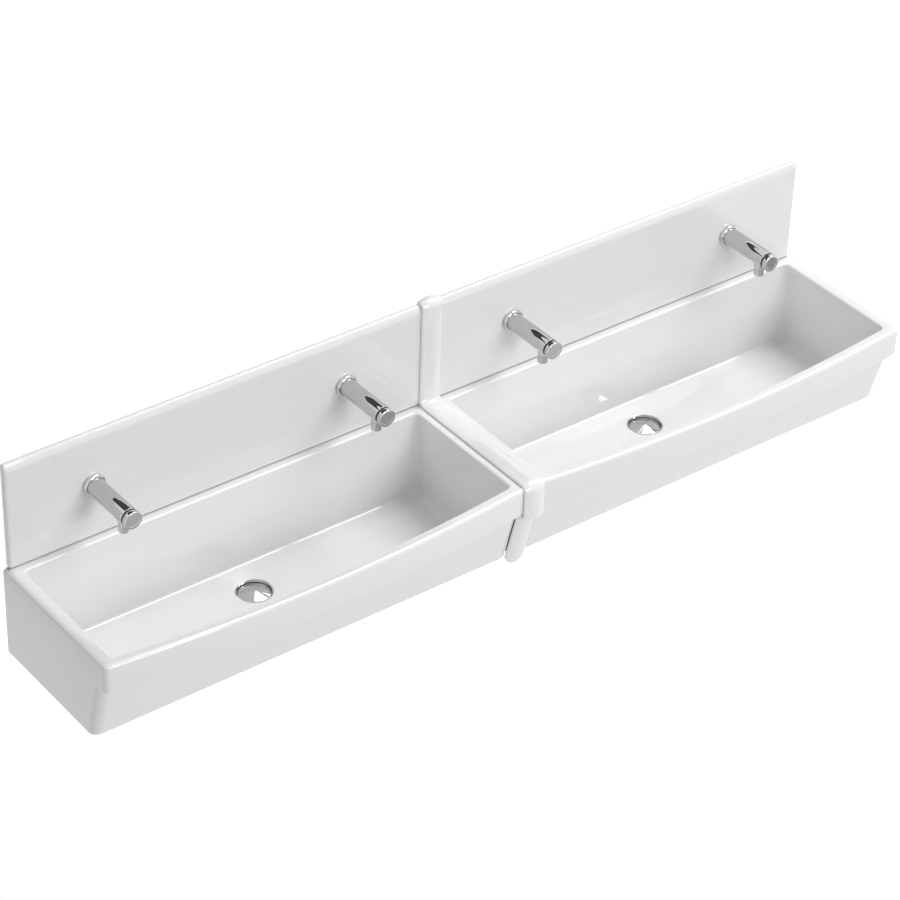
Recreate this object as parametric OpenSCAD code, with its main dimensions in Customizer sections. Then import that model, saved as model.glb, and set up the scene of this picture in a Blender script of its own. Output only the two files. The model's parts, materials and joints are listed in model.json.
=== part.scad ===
// Wall-hung double trough sink with a splashback, push taps and lift-out wastes.
// The wall is the plane y = 0, +X runs along it to the right, +Z is up and the front faces -Y.
// The origin lies on the wall, midway between the two basins, at the height of the fixing studs.

/* [Basins] */
// Length of one basin along the wall
basin_l = 1170; // [1100:10:1300]
// Gap between the two basins, under the joint cover
joint_gap = 30; // [24:1:34]
// Height of a basin, rim to underside
basin_h = 248; // [235:1:280]
// Depth of a basin from the wall to the front of its apron, at its ends
basin_d = 433; // [420:1:450]
// How much further the apron bows out at the middle of a basin
front_bow = 34; // [15:1:45]
// Height of the apron that runs along the front under the rim
apron_h = 77; // [65:1:85]
// How far the apron stands out in front of the body, at the ends of a basin
apron_step = 19; // [14:1:26]
// How far the front of the body leans back, from the apron to the underside
body_lean = 44; // [30:1:56]
// Radius of the rounding along the top of the rim
rim_r = 11; // [6:1:12]
// Radius of the rounding along the foot of the apron
apron_foot_r = 4; // [2:1:6]
// Radius of the front corners of the apron, seen from above
corner_r = 14; // [12:1:18]
// Radius of the front corners of the body, seen from above
body_corner_r = 20; // [16:1:24]
// Radius of the rounding along the underside
under_r = 12; // [8:1:16]
// Height of the rim above the fixing studs
rim_z = 90; // [80:1:100]

/* [Basin interior] */
// Width of the rim at the front
rim_front_w = 26; // [24:1:30]
// Width of the rim at each end
rim_end_w = 34; // [32:1:40]
// Width of the rim at the rear, below the splashback
rim_rear_w = 36; // [34:1:40]
// How far each end wall leans in, from rim to floor
end_draft = 6; // [2:1:12]
// How far the rear wall leans in, from rim to floor
rear_draft = 14; // [8:1:20]
// Thickness of the front wall of the body, measured level
front_wall_t = 18; // [16:1:22]
// Thickness of the floor at the waste
floor_t = 16; // [14:1:20]
// Fall of the floor towards the waste
floor_fall = 6; // [3:1:8]
// Distance of the waste from the wall
waste_d = 145; // [135:1:180]
// Radius where the floor meets the end and front walls
floor_r = 26; // [18:1:30]
// Radius where the floor meets the rear wall
rear_floor_r = 8; // [4:1:12]
// Radius of the upright corners of the interior
inner_corner_r = 18; // [14:1:24]
// Radius of the rounding on the inner edge of the rim
inner_rim_r = 5; // [3:1:7]

/* [Splashback] */
// Length of one splashback panel
splash_l = 1152; // [1100:4:1172]
// Height of its top above the rim
splash_h = 288; // [250:1:340]
// Thickness of the panel
splash_t = 17; // [15:1:22]
// Radius of the rounding along its top and ends
splash_r = 8; // [5:1:10]
// Thickness of the sealant bed between the rim and the panel
bed_t = 2; // [1.5:0.5:4]
// Set-back of the sealant bed from the face of the panel
bed_inset = 4; // [3:0.5:6]

/* [Joint cover] */
// Width of the cover
cover_w = 60; // [54:1:70]
// Height of its crown above what it covers
cover_crown = 11; // [9:0.5:14]
// Thickness of its edges
cover_edge = 4; // [3:0.5:5]
// Length of the cover's cap down the apron
cap_h = 89; // [84:1:96]
// Height of the middle of the rounded tail above the underside of the basins
tail_rise = 17; // [10:1:24]

/* [Taps] */
// Distance of each tap from the middle of its basin
tap_offset = 350; // [250:5:420]
// Height of the taps above the rim
tap_h = 149; // [120:1:180]
// Reach of the tap from the face of the splashback to the tip of the button
tap_reach = 171; // [160:1:190]
// Radius of the tap body
tap_r = 23; // [22:0.5:25]
// Radius of the wall rosette
rosette_r = 29; // [27.5:0.5:34]
// Thickness of the wall rosette
rosette_t = 12; // [10:0.5:16]
// Distance of the outlet behind the tip of the button
outlet_back = 44; // [42:1:52]
// Drop of the outlet below the axis of the tap
outlet_drop = 54; // [48:1:62]
// Radius of the outlet
outlet_r = 13; // [13:0.25:14]
// Length of the button
button_l = 12; // [11:0.5:16]
// Travel of the button when it is pushed
button_travel = 5; // [3:0.5:6]
// Slot left behind the button when it is pushed in
button_slot = 1; // [0.5:0.25:2]
// Outer radius of the inlet thread
inlet_r = 10.48; // [9:0.01:10.5]
// Length of the inlet thread behind the wall plane
inlet_l = 20; // [14:1:30]
// Radius of the bore through the inlet tail
inlet_bore_r = 7; // [5:0.5:7.5]

/* [Wastes] */
// Radius of the waste cup where it meets the floor
cup_r = 44; // [40:1:50]
// Depth of the waste cup
cup_depth = 12; // [10:1:14]
// Thickness of the metal of the cup
cup_t = 2; // [1.5:0.5:3]
// Gap for the water around the lift-out dome
dome_gap = 2; // [1.5:0.5:4]
// Rise of the dome above the floor
dome_rise = 1; // [0:0.5:3]
// Sag of the dome from its middle to its edge
dome_sag = 6; // [3:0.5:8]
// Outer radius of the waste thread
waste_r = 23.9; // [22:0.1:25]
// Length of the waste thread below the lock nut
waste_l = 35; // [20:1:50]
// Radius of the bore of the waste
waste_bore_r = 20; // [18:0.5:20.5]
// Height of the seat below the floor that carries the waste
seat_h = 16; // [12:1:24]
// Distance the dome lifts to come clear of the rim
dome_lift = 270; // [250:1:300]

/* [Fixings] */
// Distance of each fixing stud from the middle of its basin
stud_offset = 300; // [220:5:360]
// Radius of the wall end of the stud
stud_r = 5; // [4.8:0.1:6]
// Length of the wall end of the stud
stud_l = 70; // [50:1:90]
// Radius of the machine thread of the stud
stud_thread_r = 4; // [3:0.1:4.3]
// Thickness of the rear wall at the studs
stud_wall_t = 12; // [10:1:14]
// Width of the pocket around a stud
pocket_w = 64; // [50:1:90]
// Depth of the pocket, front to back
pocket_d = 18; // [15:1:19]
// Height of the pocket above the studs
pocket_top = 24; // [18:1:30]
// Distance of each splashback clip from the middle of its panel
clip_offset = 470; // [420:5:500]
// Height of the clip shelf above the rim
clip_h = 180; // [120:1:220]
// Width of a splashback clip
clip_w = 40; // [30:1:60]

/* [Fits] */
// Gap between pieces that rest on each other across a joint
rest_gap = 0.3; // [0.2:0.05:0.4]
// Radial gap around sliding pieces
slide_gap = 0.5; // [0.35:0.05:0.6]
// Radial gap in threaded and slipped-on fits
thread_gap = 0.2; // [0.1:0.05:0.3]
// Gap between pieces bedded side by side
bed_gap = 0.5; // [0.3:0.1:1]

/* [Hidden] */

// Places worked out from the sizes above
pitch = basin_l + joint_gap;
basin_x = pitch / 2;
splash_z = rim_z + bed_t;
splash_top_z = rim_z + splash_h;
under_z = rim_z - basin_h;
floor_z = under_z + floor_t;
floor_edge_depth = basin_h - floor_t - floor_fall;
step_fall = 0.5;
body_top_d = basin_d - apron_step;
body_low_d = body_top_d - body_lean;
step_z = rim_z - apron_h - step_fall;
tap_z = rim_z + tap_h;
tap_xs = [-basin_x - tap_offset, -basin_x + tap_offset, basin_x - tap_offset, basin_x + tap_offset];
waste_xs = [-basin_x, basin_x];
stud_xs = [for (x = waste_xs) for (s = [-1, 1]) x + s * stud_offset];
clip_xs = [for (x = waste_xs) for (s = [-1, 1]) x + s * clip_offset];

// Colours of the finishes
white = [0.93, 0.93, 0.92];
cream = [0.88, 0.88, 0.86];
bright = [0.78, 0.79, 0.80];
yellow_metal = [0.76, 0.62, 0.32];
black = [0.10, 0.10, 0.11];
zinc = [0.62, 0.63, 0.65];

// Smoothness of curves
bow_steps = 16;
corner_steps = 4;
rear_steps = 12;
rear_spread = 10;
round_fn = 96;
eps = 0.01;

// ---------- outlines and skins ----------

// Depth of the front at x, for an outline of half length h that is d deep at its ends
function front_at(x, h, d, bow) = -(d + bow * (1 - pow(x / h, 2)));

// Turn of the bowed front where it meets a corner of radius r
function end_turn(h, r, bow) = atan(2 * bow * (h - r) / (h * h));

// Points of an arc about c, from angle a0 to a1 in n steps
function arc(c, r, a0, a1, n) =
  [for (i = [0 : n]) let (a = a0 + (a1 - a0) * i / n) c + r * [cos(a), sin(a)]];

// Closed outline seen from above: half length h, back at y = back, front d deep and bowed, corners rf and rb.
// The points along the back are closest together in the middle, behind the waste.
function outline(h, back, d, bow, rf, rb) =
  let (
    turn = end_turn(h, rf, bow),
    xt = h - rf + rf * sin(turn),
    yc = front_at(xt, h, d, bow) + rf * cos(turn)
  )
  concat(
    arc([-(h - rf), yc], rf, 180, 270 - turn, corner_steps),
    [for (i = [1 : bow_steps - 1]) let (x = xt * (2 * i / bow_steps - 1)) [x, front_at(x, h, d, bow)]],
    arc([h - rf, yc], rf, 270 + turn, 360, corner_steps),
    arc([h - rb, back - rb], rb, 0, 90, corner_steps),
    [for (i = [1 : rear_steps - 1]) let (a = rear_spread + (180 - 2 * rear_spread) * i / rear_steps)
      [(h - rb) * tan(rear_spread) * cos(a) / sin(a), back]],
    arc([-(h - rb), back - rb], rb, 90, 180, corner_steps)
  );

// Lifts an outline to height z
function at_height(points, z) = [for (p = points) [p[0], p[1], z]];

// Solid whose skin runs through rings of equal point count, listed from the top down
module skin(rings) {
  n = len(rings[0]);
  m = len(rings);
  points = [for (ring = rings) each ring];
  top_cap = [[for (i = [n - 1 : -1 : 0]) i]];
  low_cap = [[for (i = [0 : n - 1]) (m - 1) * n + i]];
  sides = [for (k = [0 : m - 2]) for (i = [0 : n - 1])
    let (j = (i + 1) % n, a = k * n + i, b = k * n + j, c = a + n, d = b + n)
    each [[a, b, c], [b, d, c]]];
  polyhedron(points = points, faces = concat(top_cap, low_cap, sides), convexity = 6);
}

// Inset of a rounding of radius r at height h above (or below) the face that it runs into
function round_inset(r, h) = h >= r ? 0 : r - sqrt(r * r - (r - h) * (r - h));

// ---------- round solids ----------

// Round solid along local z from a to b
module along(r, a, b) {
  translate([0, 0, a]) cylinder(r = r, h = b - a, $fn = round_fn);
}

// Ring along local z from a to b
module ring(outer, inner, a, b) {
  difference() {
    along(outer, a, b);
    along(inner, a - 1, b + 1);
  }
}

// Round solid along y from a to b
module across(r, a, b) {
  rotate([-90, 0, 0]) along(r, a, b);
}

// What is cut away in the plane to round an upper right corner to radius r about the origin
module corner_cut(r) {
  difference() {
    square([r + 1, r + 1]);
    circle(r = r, $fn = 64);
  }
}

// ---------- basin ----------

back_cut = 3;
round_steps = 5;
mouth_lift = 0.3;
mouth_top = 4;
blend_steps = 5;
rear_under_r = 16;
smallest_r = 3;

// Depth of the outside of the body at a depth below the rim
function body_d(depth) =
  body_top_d + (body_low_d - body_top_d) * (depth - apron_h) / (basin_h - apron_h);

// Steps of a quarter round of radius r, as [distance from the face, inset]
function quarter(r, n) = [for (i = [0 : n]) let (a = 90 * i / n) [r * (1 - cos(a)), r * (1 - sin(a))]];

// Outer skin of a basin: rim rounding, bowed apron, step back to the body, underside rounding
function outer_rings() =
  let (h = basin_l / 2)
  concat(
    [for (q = quarter(rim_r, round_steps)) let (in = q[1])
      at_height(outline(h - in, back_cut, basin_d - in, front_bow, corner_r - in, corner_r), rim_z - q[0])],
    [for (i = [round_steps : -1 : 0]) let (q = quarter(apron_foot_r, round_steps)[i])
      at_height(outline(h, back_cut, basin_d - q[1], front_bow, corner_r, corner_r), rim_z - apron_h + q[0])],
    [at_height(outline(h, back_cut, body_top_d, 0, body_corner_r, corner_r), step_z)],
    [for (i = [round_steps : -1 : 0])
      let (q = quarter(under_r, round_steps)[i], in = q[1], rear_in = rear_under_r * in / under_r)
      at_height(
        outline(h - in, back_cut - rear_in, body_d(basin_h - q[0]) - in, 0, body_corner_r - in, corner_r),
        under_z + q[0])]
  );

// Share of the way from rim to floor
function down(depth) = depth / floor_edge_depth;

// Smooth step from 0 to 1
function ease(t) = t * t * (3 - 2 * t);

// Inner outline at a depth below the rim, for the bowed upper part
function upper_ring(depth, out) =
  let (t = ease(max(0, (depth - inner_rim_r) / (apron_h - 2 * inner_rim_r))))
  at_height(outline(
    basin_l / 2 - rim_end_w - end_draft * down(depth) + out,
    -(rim_rear_w + rear_draft * down(depth)) + out,
    (basin_d - rim_front_w) * (1 - t) + (body_d(apron_h) - front_wall_t) * t + out,
    front_bow * (1 - t),
    inner_corner_r + out, inner_corner_r + out), rim_z - depth);

// Inner outline at a height above the edge of the floor, for the lower part
function lower_ring(h) =
  let (depth = floor_edge_depth - h, in = round_inset(floor_r, h), rear_in = round_inset(rear_floor_r, h))
  at_height(outline(
    basin_l / 2 - rim_end_w - end_draft * down(depth) - in,
    -(rim_rear_w + rear_draft * down(depth)) - rear_in,
    body_d(depth) - front_wall_t - in,
    0,
    max(smallest_r, inner_corner_r - in / 2), max(smallest_r, inner_corner_r - rear_in)), rim_z - depth);

// Ring around the waste, one point for each point of the floor's edge
waste_land = 4;
function waste_ring() =
  let (edge = lower_ring(0), c = [0, -waste_d])
  [for (p = edge) let (v = [p[0], p[1]] - c) concat(c + v / norm(v) * (cup_r + waste_land), [floor_z])];

// Skin of the interior: mouth, rounded inner edge, blend from bowed to straight, fillets, floor
function inner_rings() =
  concat(
    [at_height(upper_ring(0, inner_rim_r), rim_z + mouth_top)],
    [for (q = quarter(inner_rim_r, round_steps)) upper_ring(q[0] - mouth_lift, q[1])],
    [for (i = [1 : blend_steps]) upper_ring(inner_rim_r + (apron_h - 2 * inner_rim_r) * i / blend_steps, 0)],
    [for (h = [floor_r : -floor_r / round_steps : floor_r / round_steps]) lower_ring(h)],
    [lower_ring(floor_r / round_steps / 2), lower_ring(floor_r / round_steps / 8), lower_ring(0)],
    [waste_ring()]
  );

// Hole through the seat for the waste, recess for the cup, and the seat below the floor
waste_hole_gap = 1.6;
waste_hole_r = waste_r + waste_hole_gap;
gasket_t = 2;
recess_depth = cup_depth + cup_t + gasket_t;
recess_gap = 1;
recess_r = cup_r + recess_gap;
seat_z = under_z - seat_h;
seat_wall = 12;
seat_r = recess_r + seat_wall;
seat_overlap = 5;

// Sleeve and hole at each stud
sleeve_r = 8.7;
stud_hole_r = sleeve_r + thread_gap;

module basin(x) {
  color(white)
  translate([x, 0, 0])
  difference() {
    union() {
      skin(outer_rings());
      translate([0, -waste_d, 0]) along(seat_r, seat_z, under_z + seat_overlap);
    }
    skin(inner_rings());
    translate([0, -waste_d, 0]) {
      along(recess_r, floor_z - recess_depth, floor_z + 2);
      along(waste_hole_r, seat_z - 1, floor_z - 1);
    }
    translate([-basin_l, 0, under_z - 1]) cube([2 * basin_l, 2 * back_cut, basin_h + 2]);
    for (s = [-1, 1]) translate([s * stud_offset, 0, 0]) {
      across(stud_hole_r, -stud_wall_t - 1, 1);
      translate([-pocket_w / 2, -stud_wall_t - pocket_d, under_z - 1])
        cube([pocket_w, pocket_d, pocket_top - under_z + 1]);
    }
  }
}

// ---------- splashback ----------

tap_hole_gap = 1.5;
tap_hole_r = inlet_r + tap_hole_gap;
clip_t = 2;
clip_lip = 8;
clip_drop = 38;
clip_room = 3;
notch_w = clip_w + 2 * clip_room;
clip_z = rim_z + clip_h;

// Cross-section of the panel: thickness along x, height along y, front edges rounded
module splash_section() {
  foot_r = splash_r / 2;
  difference() {
    square([splash_t, splash_top_z - splash_z]);
    translate([splash_t - splash_r, splash_top_z - splash_z - splash_r]) corner_cut(splash_r);
    translate([splash_t - foot_r, foot_r]) rotate(-90) corner_cut(foot_r);
  }
}

// Front view of the panel with rounded top corners
module splash_face() {
  difference() {
    translate([-splash_l / 2, splash_z]) square([splash_l, splash_top_z - splash_z]);
    for (s = [-1, 1]) translate([s * (splash_l / 2 - splash_r), splash_top_z - splash_r])
      rotate(s > 0 ? 0 : 90) corner_cut(splash_r);
  }
}

module splashback(x) {
  color(white)
  translate([x, 0, 0])
  difference() {
    intersection() {
      translate([-splash_l / 2 - 1, 0, splash_z]) rotate([90, 0, 90]) mirror([1, 0, 0])
        linear_extrude(height = splash_l + 2) splash_section();
      rotate([90, 0, 0]) translate([0, 0, -1]) linear_extrude(height = splash_t + 2) splash_face();
    }
    for (s = [-1, 1]) {
      translate([s * tap_offset, 0, tap_z]) across(tap_hole_r, -splash_t - 1, 1);
      translate([s * clip_offset - notch_w / 2, -clip_lip - clip_room, clip_z - clip_drop - clip_room])
        cube([notch_w, clip_lip + clip_room + 1, clip_drop + clip_room + rest_gap]);
    }
  }
}

module sealant_bed(x) {
  color(cream)
  translate([x - splash_l / 2, -splash_t + bed_inset, rim_z])
    cube([splash_l, splash_t - 2 * bed_inset, bed_t]);
}

// ---------- joint cover and foam ----------

// Crowned section of the cover: width along x, standing out along +y
crown_sag = cover_crown - cover_edge;
crown_r = (pow(cover_w / 2, 2) + pow(crown_sag, 2)) / (2 * crown_sag);
module cover_section() {
  intersection() {
    translate([-cover_w / 2, 0]) square([cover_w, cover_crown + 1]);
    translate([0, cover_crown - crown_r]) circle(r = crown_r, $fn = 180);
  }
}

// The faces that the cover lies on, a small gap clear of the pieces it covers
cover_splash_y = -(splash_t + bed_gap);
cover_rim_z = rim_z + bed_gap;
cover_top_z = splash_top_z + bed_gap;
cover_reach = (cover_w - joint_gap) / basin_l;
apron_y = -(basin_d + front_bow * (1 - pow(1 - cover_reach, 2)) + bed_gap);
cover_top_r = splash_r + bed_gap;
cover_rim_ease = 3;
cover_rim_r = rim_r + cover_rim_ease;
hollow_r = 10;
hollow_c = cover_crown + hollow_r;
cap_low_z = rim_z - cap_h;
cap_r = 9;
end_ease = 0.5;

// The tail lies on the sloping front of the bodies
tail_slope = atan((body_top_d - body_low_d) / (basin_h - apron_h));
tail_mid_z = under_z + tail_rise;
tail_base = bed_gap / cos(tail_slope);

// Corner of the cover over an outer edge, from the front face up and back to the top face
module cover_corner(r) {
  rotate([0, 90, 0]) rotate([0, 0, 180]) rotate_extrude(angle = 90, $fn = round_fn)
    translate([r, 0]) rotate(-90) cover_section();
}

// Corner of the cover in the angle between the splashback and the rim
module cover_hollow(r) {
  rotate([0, 90, 0]) rotate_extrude(angle = 90, $fn = round_fn)
    translate([r + cover_crown, 0]) rotate(90) cover_section();
}

// Cap down the apron, and the block that turns it under the apron to the tail
module cover_cap() {
  top_z = cover_rim_z - cover_rim_r;
  block_d = -apron_y - body_top_d - bed_gap;
  difference() {
    union() {
      translate([0, apron_y, cap_low_z]) rotate([0, 0, 180])
        linear_extrude(height = top_z - cap_low_z) cover_section();
      translate([-cover_w / 2, apron_y - eps, cap_low_z])
        cube([cover_w, block_d + eps, step_z - bed_gap - cap_low_z]);
    }
    for (s = [-1, 1]) translate([s * (cover_w / 2 - cap_r), -body_top_d, cap_low_z + cap_r])
      rotate([90, 0, 0]) linear_extrude(height = block_d + cover_crown + 2)
        rotate(s > 0 ? -90 : 180) corner_cut(cap_r + end_ease);
  }
}

// Tail down the sloping bodies, with a half-round end
module cover_tail() {
  run = (step_z - bed_gap - tail_mid_z) / cos(tail_slope);
  translate([0, -body_d(rim_z - tail_mid_z) - tail_base, tail_mid_z]) rotate([90 + tail_slope, 0, 0])
    difference() {
      translate([0, -cover_w, 0]) rotate([-90, 0, 0]) mirror([0, 1, 0])
        linear_extrude(height = run + cover_w) cover_section();
      translate([0, 0, -1]) linear_extrude(height = cover_crown + 2) difference() {
        translate([-cover_w, -cover_w - 1]) square([2 * cover_w, cover_w + 1]);
        circle(r = cover_w / 2 + end_ease, $fn = round_fn);
      }
    }
}

module joint_cover() {
  top_y = cover_splash_y + cover_top_r;
  front_y = apron_y + cover_rim_r;
  color(white) {
    // over the top of the splashback, back to the wall, and down its face
    translate([0, 0, cover_top_z]) rotate([90, 0, 0]) linear_extrude(height = -top_y) cover_section();
    translate([0, top_y, cover_top_z - cover_top_r]) cover_corner(cover_top_r);
    translate([0, cover_splash_y, cover_rim_z + hollow_c]) rotate([0, 0, 180])
      linear_extrude(height = cover_top_z - cover_top_r - cover_rim_z - hollow_c) cover_section();
    // along the rim to the front, and over its edge
    translate([0, cover_splash_y - hollow_c, cover_rim_z + hollow_c]) cover_hollow(hollow_r);
    translate([0, cover_splash_y - hollow_c, cover_rim_z]) rotate([90, 0, 0])
      linear_extrude(height = cover_splash_y - hollow_c - front_y) cover_section();
    translate([0, front_y, cover_rim_z - cover_rim_r]) cover_corner(cover_rim_r);
    cover_cap();
    cover_tail();
  }
}

// Strip of foam that fills the gap between the two basins, along the rim and down the front
foam_band = 30;
foam_edge = 13;
module joint_foam() {
  front_y = -(basin_d - foam_edge);
  top_z = rim_z - foam_edge / 4;
  low_z = under_z + foam_edge;
  body_y = -(body_top_d - foam_edge / 2);
  low_y = -(body_low_d - foam_edge / 2);
  color(black)
  translate([-joint_gap / 2 + bed_gap, 0, 0]) rotate([90, 0, 90])
    linear_extrude(height = joint_gap - 2 * bed_gap)
      polygon([
        [-1, top_z], [front_y, top_z], [front_y, step_z], [body_y, step_z], [low_y, low_z],
        [low_y + foam_band, low_z], [body_y + foam_band, step_z], [body_y + foam_band, top_z - foam_band],
        [-1, top_z - foam_band]
      ]);
}

// ---------- taps ----------

washer_t = 2;
washer_inset = 1;
washer_r = tap_r - washer_inset;
rosette_wall = 2.5;
rosette_round = 5;
thread_step = 0.5;
inlet_inner_r = inlet_r - thread_step;
inlet_neck_r = inlet_inner_r - thread_step;
socket_l = 16;
waterway_r = 7.5;
body_wall = 4;
chamber_r = tap_r - body_wall;
chamber_d = 60;
outlet_d = tap_reach - outlet_back;
outlet_bore_r = outlet_r - body_wall;
mouth_lip = 1.4;
mouth_r = outlet_r - mouth_lip;
mouth_l = 10;
flare_inset = 2.5;
flare_r = tap_r - flare_inset;
flare_top = 10;
flare_low = 36;
flare_sweep_r = (pow(flare_r - outlet_r, 2) + pow(flare_low - flare_top, 2)) / (2 * (flare_r - outlet_r));
button_back = tap_reach - button_l;
body_end = button_back - button_travel - button_slot;
button_face_t = 3;
button_round = 1.5;
stem_r = 4;
stem_back = 7;
guide_flange_t = 3;
button_wall = 2.2;
guide_r = tap_r - button_wall - slide_gap;
guide_bore_r = 8.5;
guide_end = tap_reach - button_face_t - button_travel - button_slot;
cartridge_end = body_end - guide_flange_t;
cartridge_neck_r = 12;
cartridge_head_l = 10;
cartridge_flange_l = 12;
cartridge_bore_r = 4;
spring_r = 6.2;
spring_wire_r = 1.1;
spring_pitch = 1.8;

// Places a tap: local +z points out from the splashback, local y up, local z = 0 on its face
module on_tap(i) {
  translate([tap_xs[i], -splash_t, tap_z]) rotate([90, 0, 0]) children();
}

module tap_nozzle() {
  translate([0, 0, outlet_d]) rotate([90, 0, 0]) rotate_extrude($fn = round_fn) difference() {
    square([flare_r, outlet_drop]);
    translate([outlet_r + flare_sweep_r, flare_low]) circle(r = flare_sweep_r, $fn = 180);
    translate([outlet_r, flare_low]) square([flare_r, outlet_drop]);
  }
}

module tap_body(i) {
  color(bright)
  on_tap(i) difference() {
    union() {
      along(tap_r, washer_t, body_end);
      tap_nozzle();
    }
    along(inlet_inner_r + thread_gap, washer_t - 1, washer_t + socket_l);
    along(waterway_r, washer_t, chamber_d + 1);
    along(chamber_r, chamber_d, body_end + 1);
    translate([0, 0, outlet_d]) rotate([90, 0, 0]) {
      along(outlet_bore_r, 0, outlet_drop + 1);
      along(mouth_r, outlet_drop - mouth_l, outlet_drop + 1);
    }
  }
}

module tap_rosette(i) {
  color(bright)
  on_tap(i) rotate_extrude($fn = round_fn) difference() {
    square([rosette_r, rosette_t]);
    translate([rosette_r - rosette_round, rosette_t - rosette_round]) corner_cut(rosette_round);
    translate([-1, -1]) square([rosette_r - rosette_wall + 1, rosette_t - rosette_wall + 1]);
    translate([-1, 0]) square([tap_r + thread_gap + 1, rosette_t + 1]);
  }
}

module tap_washer(i) {
  color(black)
  on_tap(i) difference() {
    along(washer_r, 0, washer_t);
    along(inlet_r, -1, washer_t + 1);
  }
}

// Inlet tail: thread into the wall, neck through the splashback, thread into the body
module tap_inlet(i) {
  wall = -splash_t - bed_gap;
  color(yellow_metal)
  on_tap(i) difference() {
    union() {
      along(inlet_r, wall - inlet_l, wall);
      along(inlet_neck_r, wall - 1, washer_t + 1);
      along(inlet_inner_r, washer_t, washer_t + socket_l - 1);
    }
    along(inlet_bore_r, wall - inlet_l - 1, washer_t + socket_l);
  }
}

module tap_cartridge(i) {
  color(yellow_metal)
  on_tap(i) difference() {
    union() {
      along(chamber_r - thread_gap, chamber_d + bed_gap, chamber_d + cartridge_head_l);
      along(cartridge_neck_r, chamber_d + cartridge_head_l - 1, cartridge_end);
      along(chamber_r - thread_gap, cartridge_end - cartridge_flange_l, cartridge_end);
    }
    along(stem_r + slide_gap, cartridge_end - cartridge_flange_l + 1, cartridge_end + 1);
    along(cartridge_bore_r, chamber_d, chamber_d + cartridge_head_l + 1);
  }
}

module tap_guide(i) {
  color(black)
  on_tap(i) difference() {
    union() {
      along(chamber_r - thread_gap, cartridge_end, body_end);
      along(guide_r, body_end, guide_end);
    }
    along(guide_bore_r, cartridge_end - 1, guide_end + 1);
  }
}

// Close-wound return spring around the stem, from the cartridge to the button
module tap_spring(i) {
  first = cartridge_end + spring_wire_r;
  last = tap_reach - button_face_t - rest_gap - spring_wire_r;
  turns = round((last - first) / spring_pitch);
  color(zinc)
  on_tap(i) for (k = [0 : turns]) translate([0, 0, first + (last - first) * k / turns])
    rotate_extrude($fn = 48) translate([spring_r, 0]) circle(r = spring_wire_r, $fn = 24);
}

module tap_button(i) {
  color(bright)
  on_tap(i) {
    rotate_extrude($fn = round_fn) difference() {
      translate([0, button_back]) square([tap_r, button_l]);
      translate([tap_r - button_round, tap_reach - button_round]) corner_cut(button_round);
      translate([-1, button_back - 1]) square([tap_r - button_wall + 1, button_l - button_face_t + 1]);
    }
    along(stem_r, cartridge_end - stem_back + button_travel - 1, tap_reach - button_face_t + eps);
  }
}

// Flow strainer in the mouth of the outlet
strainer_holes = 6;
strainer_hole_r = 1.8;
module tap_strainer(i) {
  top = outlet_drop - mouth_l + bed_gap / 2;
  color(zinc)
  on_tap(i) translate([0, 0, outlet_d]) rotate([90, 0, 0]) difference() {
    along(mouth_r - thread_gap, top, outlet_drop - bed_gap);
    along(strainer_hole_r, top - 1, outlet_drop);
    for (k = [0 : strainer_holes - 1]) rotate(360 * k / strainer_holes) translate([mouth_r * 0.6, 0, 0])
      along(strainer_hole_r, top - 1, outlet_drop);
  }
}

// ---------- wastes ----------

waste_neck_step = 0.4;
waste_neck_r = waste_r - waste_neck_step;
lock_washer_t = 3;
lock_nut_t = 8;
lock_nut_r = 34;
lock_washer_inset = 1;
gasket_inset = 1.5;
tail_clear = 4;
waste_thread_z = seat_z - lock_washer_t - lock_nut_t - tail_clear;
cup_floor_z = floor_z - cup_depth;
dome_r = cup_r - cup_t - dome_gap;
dome_t = 2.2;
dome_sphere_r = (dome_r * dome_r + dome_sag * dome_sag) / (2 * dome_sag);
dome_stem_r = 5;
dome_fins = 3;
fin_t = 3;
fin_foot = 7;
fin_drop = 14;

// Places a waste: local origin on the axis of the waste at the height of the studs
module on_waste(x) {
  translate([x, -waste_d, 0]) children();
}

module waste_cup(x) {
  color(bright)
  on_waste(x) {
    ring(cup_r, cup_r - cup_t, cup_floor_z, floor_z);
    ring(cup_r, waste_bore_r, cup_floor_z - cup_t, cup_floor_z);
    ring(waste_neck_r, waste_bore_r, waste_thread_z, cup_floor_z);
    ring(waste_r, waste_bore_r, waste_thread_z - waste_l, waste_thread_z);
  }
}

// Lift-out dome: crowned cap, stem and fins that stand on the floor of the cup
module waste_dome(x) {
  top_z = floor_z + dome_rise;
  ball_z = top_z - dome_sphere_r;
  fin_z = cup_floor_z + rest_gap;
  fin_in = waste_bore_r - slide_gap;
  color(bright)
  on_waste(x) {
    rotate_extrude($fn = round_fn) intersection() {
      translate([0, ball_z]) difference() {
        circle(r = dome_sphere_r, $fn = 360);
        circle(r = dome_sphere_r - dome_t, $fn = 360);
      }
      translate([0, floor_z - cup_depth]) square([dome_r, cup_depth + dome_rise + 1]);
    }
    intersection() {
      translate([0, 0, ball_z]) sphere(r = dome_sphere_r - dome_t / 2, $fn = 180);
      union() {
        along(dome_stem_r, fin_z - fin_drop, top_z);
        for (k = [0 : dome_fins - 1]) rotate(360 * k / dome_fins) translate([0, -fin_t / 2, 0]) {
          translate([0, 0, fin_z - fin_drop]) cube([fin_in, fin_t, fin_drop + 1]);
          translate([0, 0, fin_z]) cube([waste_bore_r + fin_foot, fin_t, top_z - fin_z]);
        }
      }
    }
  }
}

module waste_gasket(x) {
  color(black)
  on_waste(x) ring(recess_r - gasket_inset, waste_hole_r, floor_z - recess_depth, cup_floor_z - cup_t);
}

module waste_washer(x) {
  color(black)
  on_waste(x) ring(lock_nut_r - lock_washer_inset, waste_neck_r + thread_gap, seat_z - lock_washer_t, seat_z);
}

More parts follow.
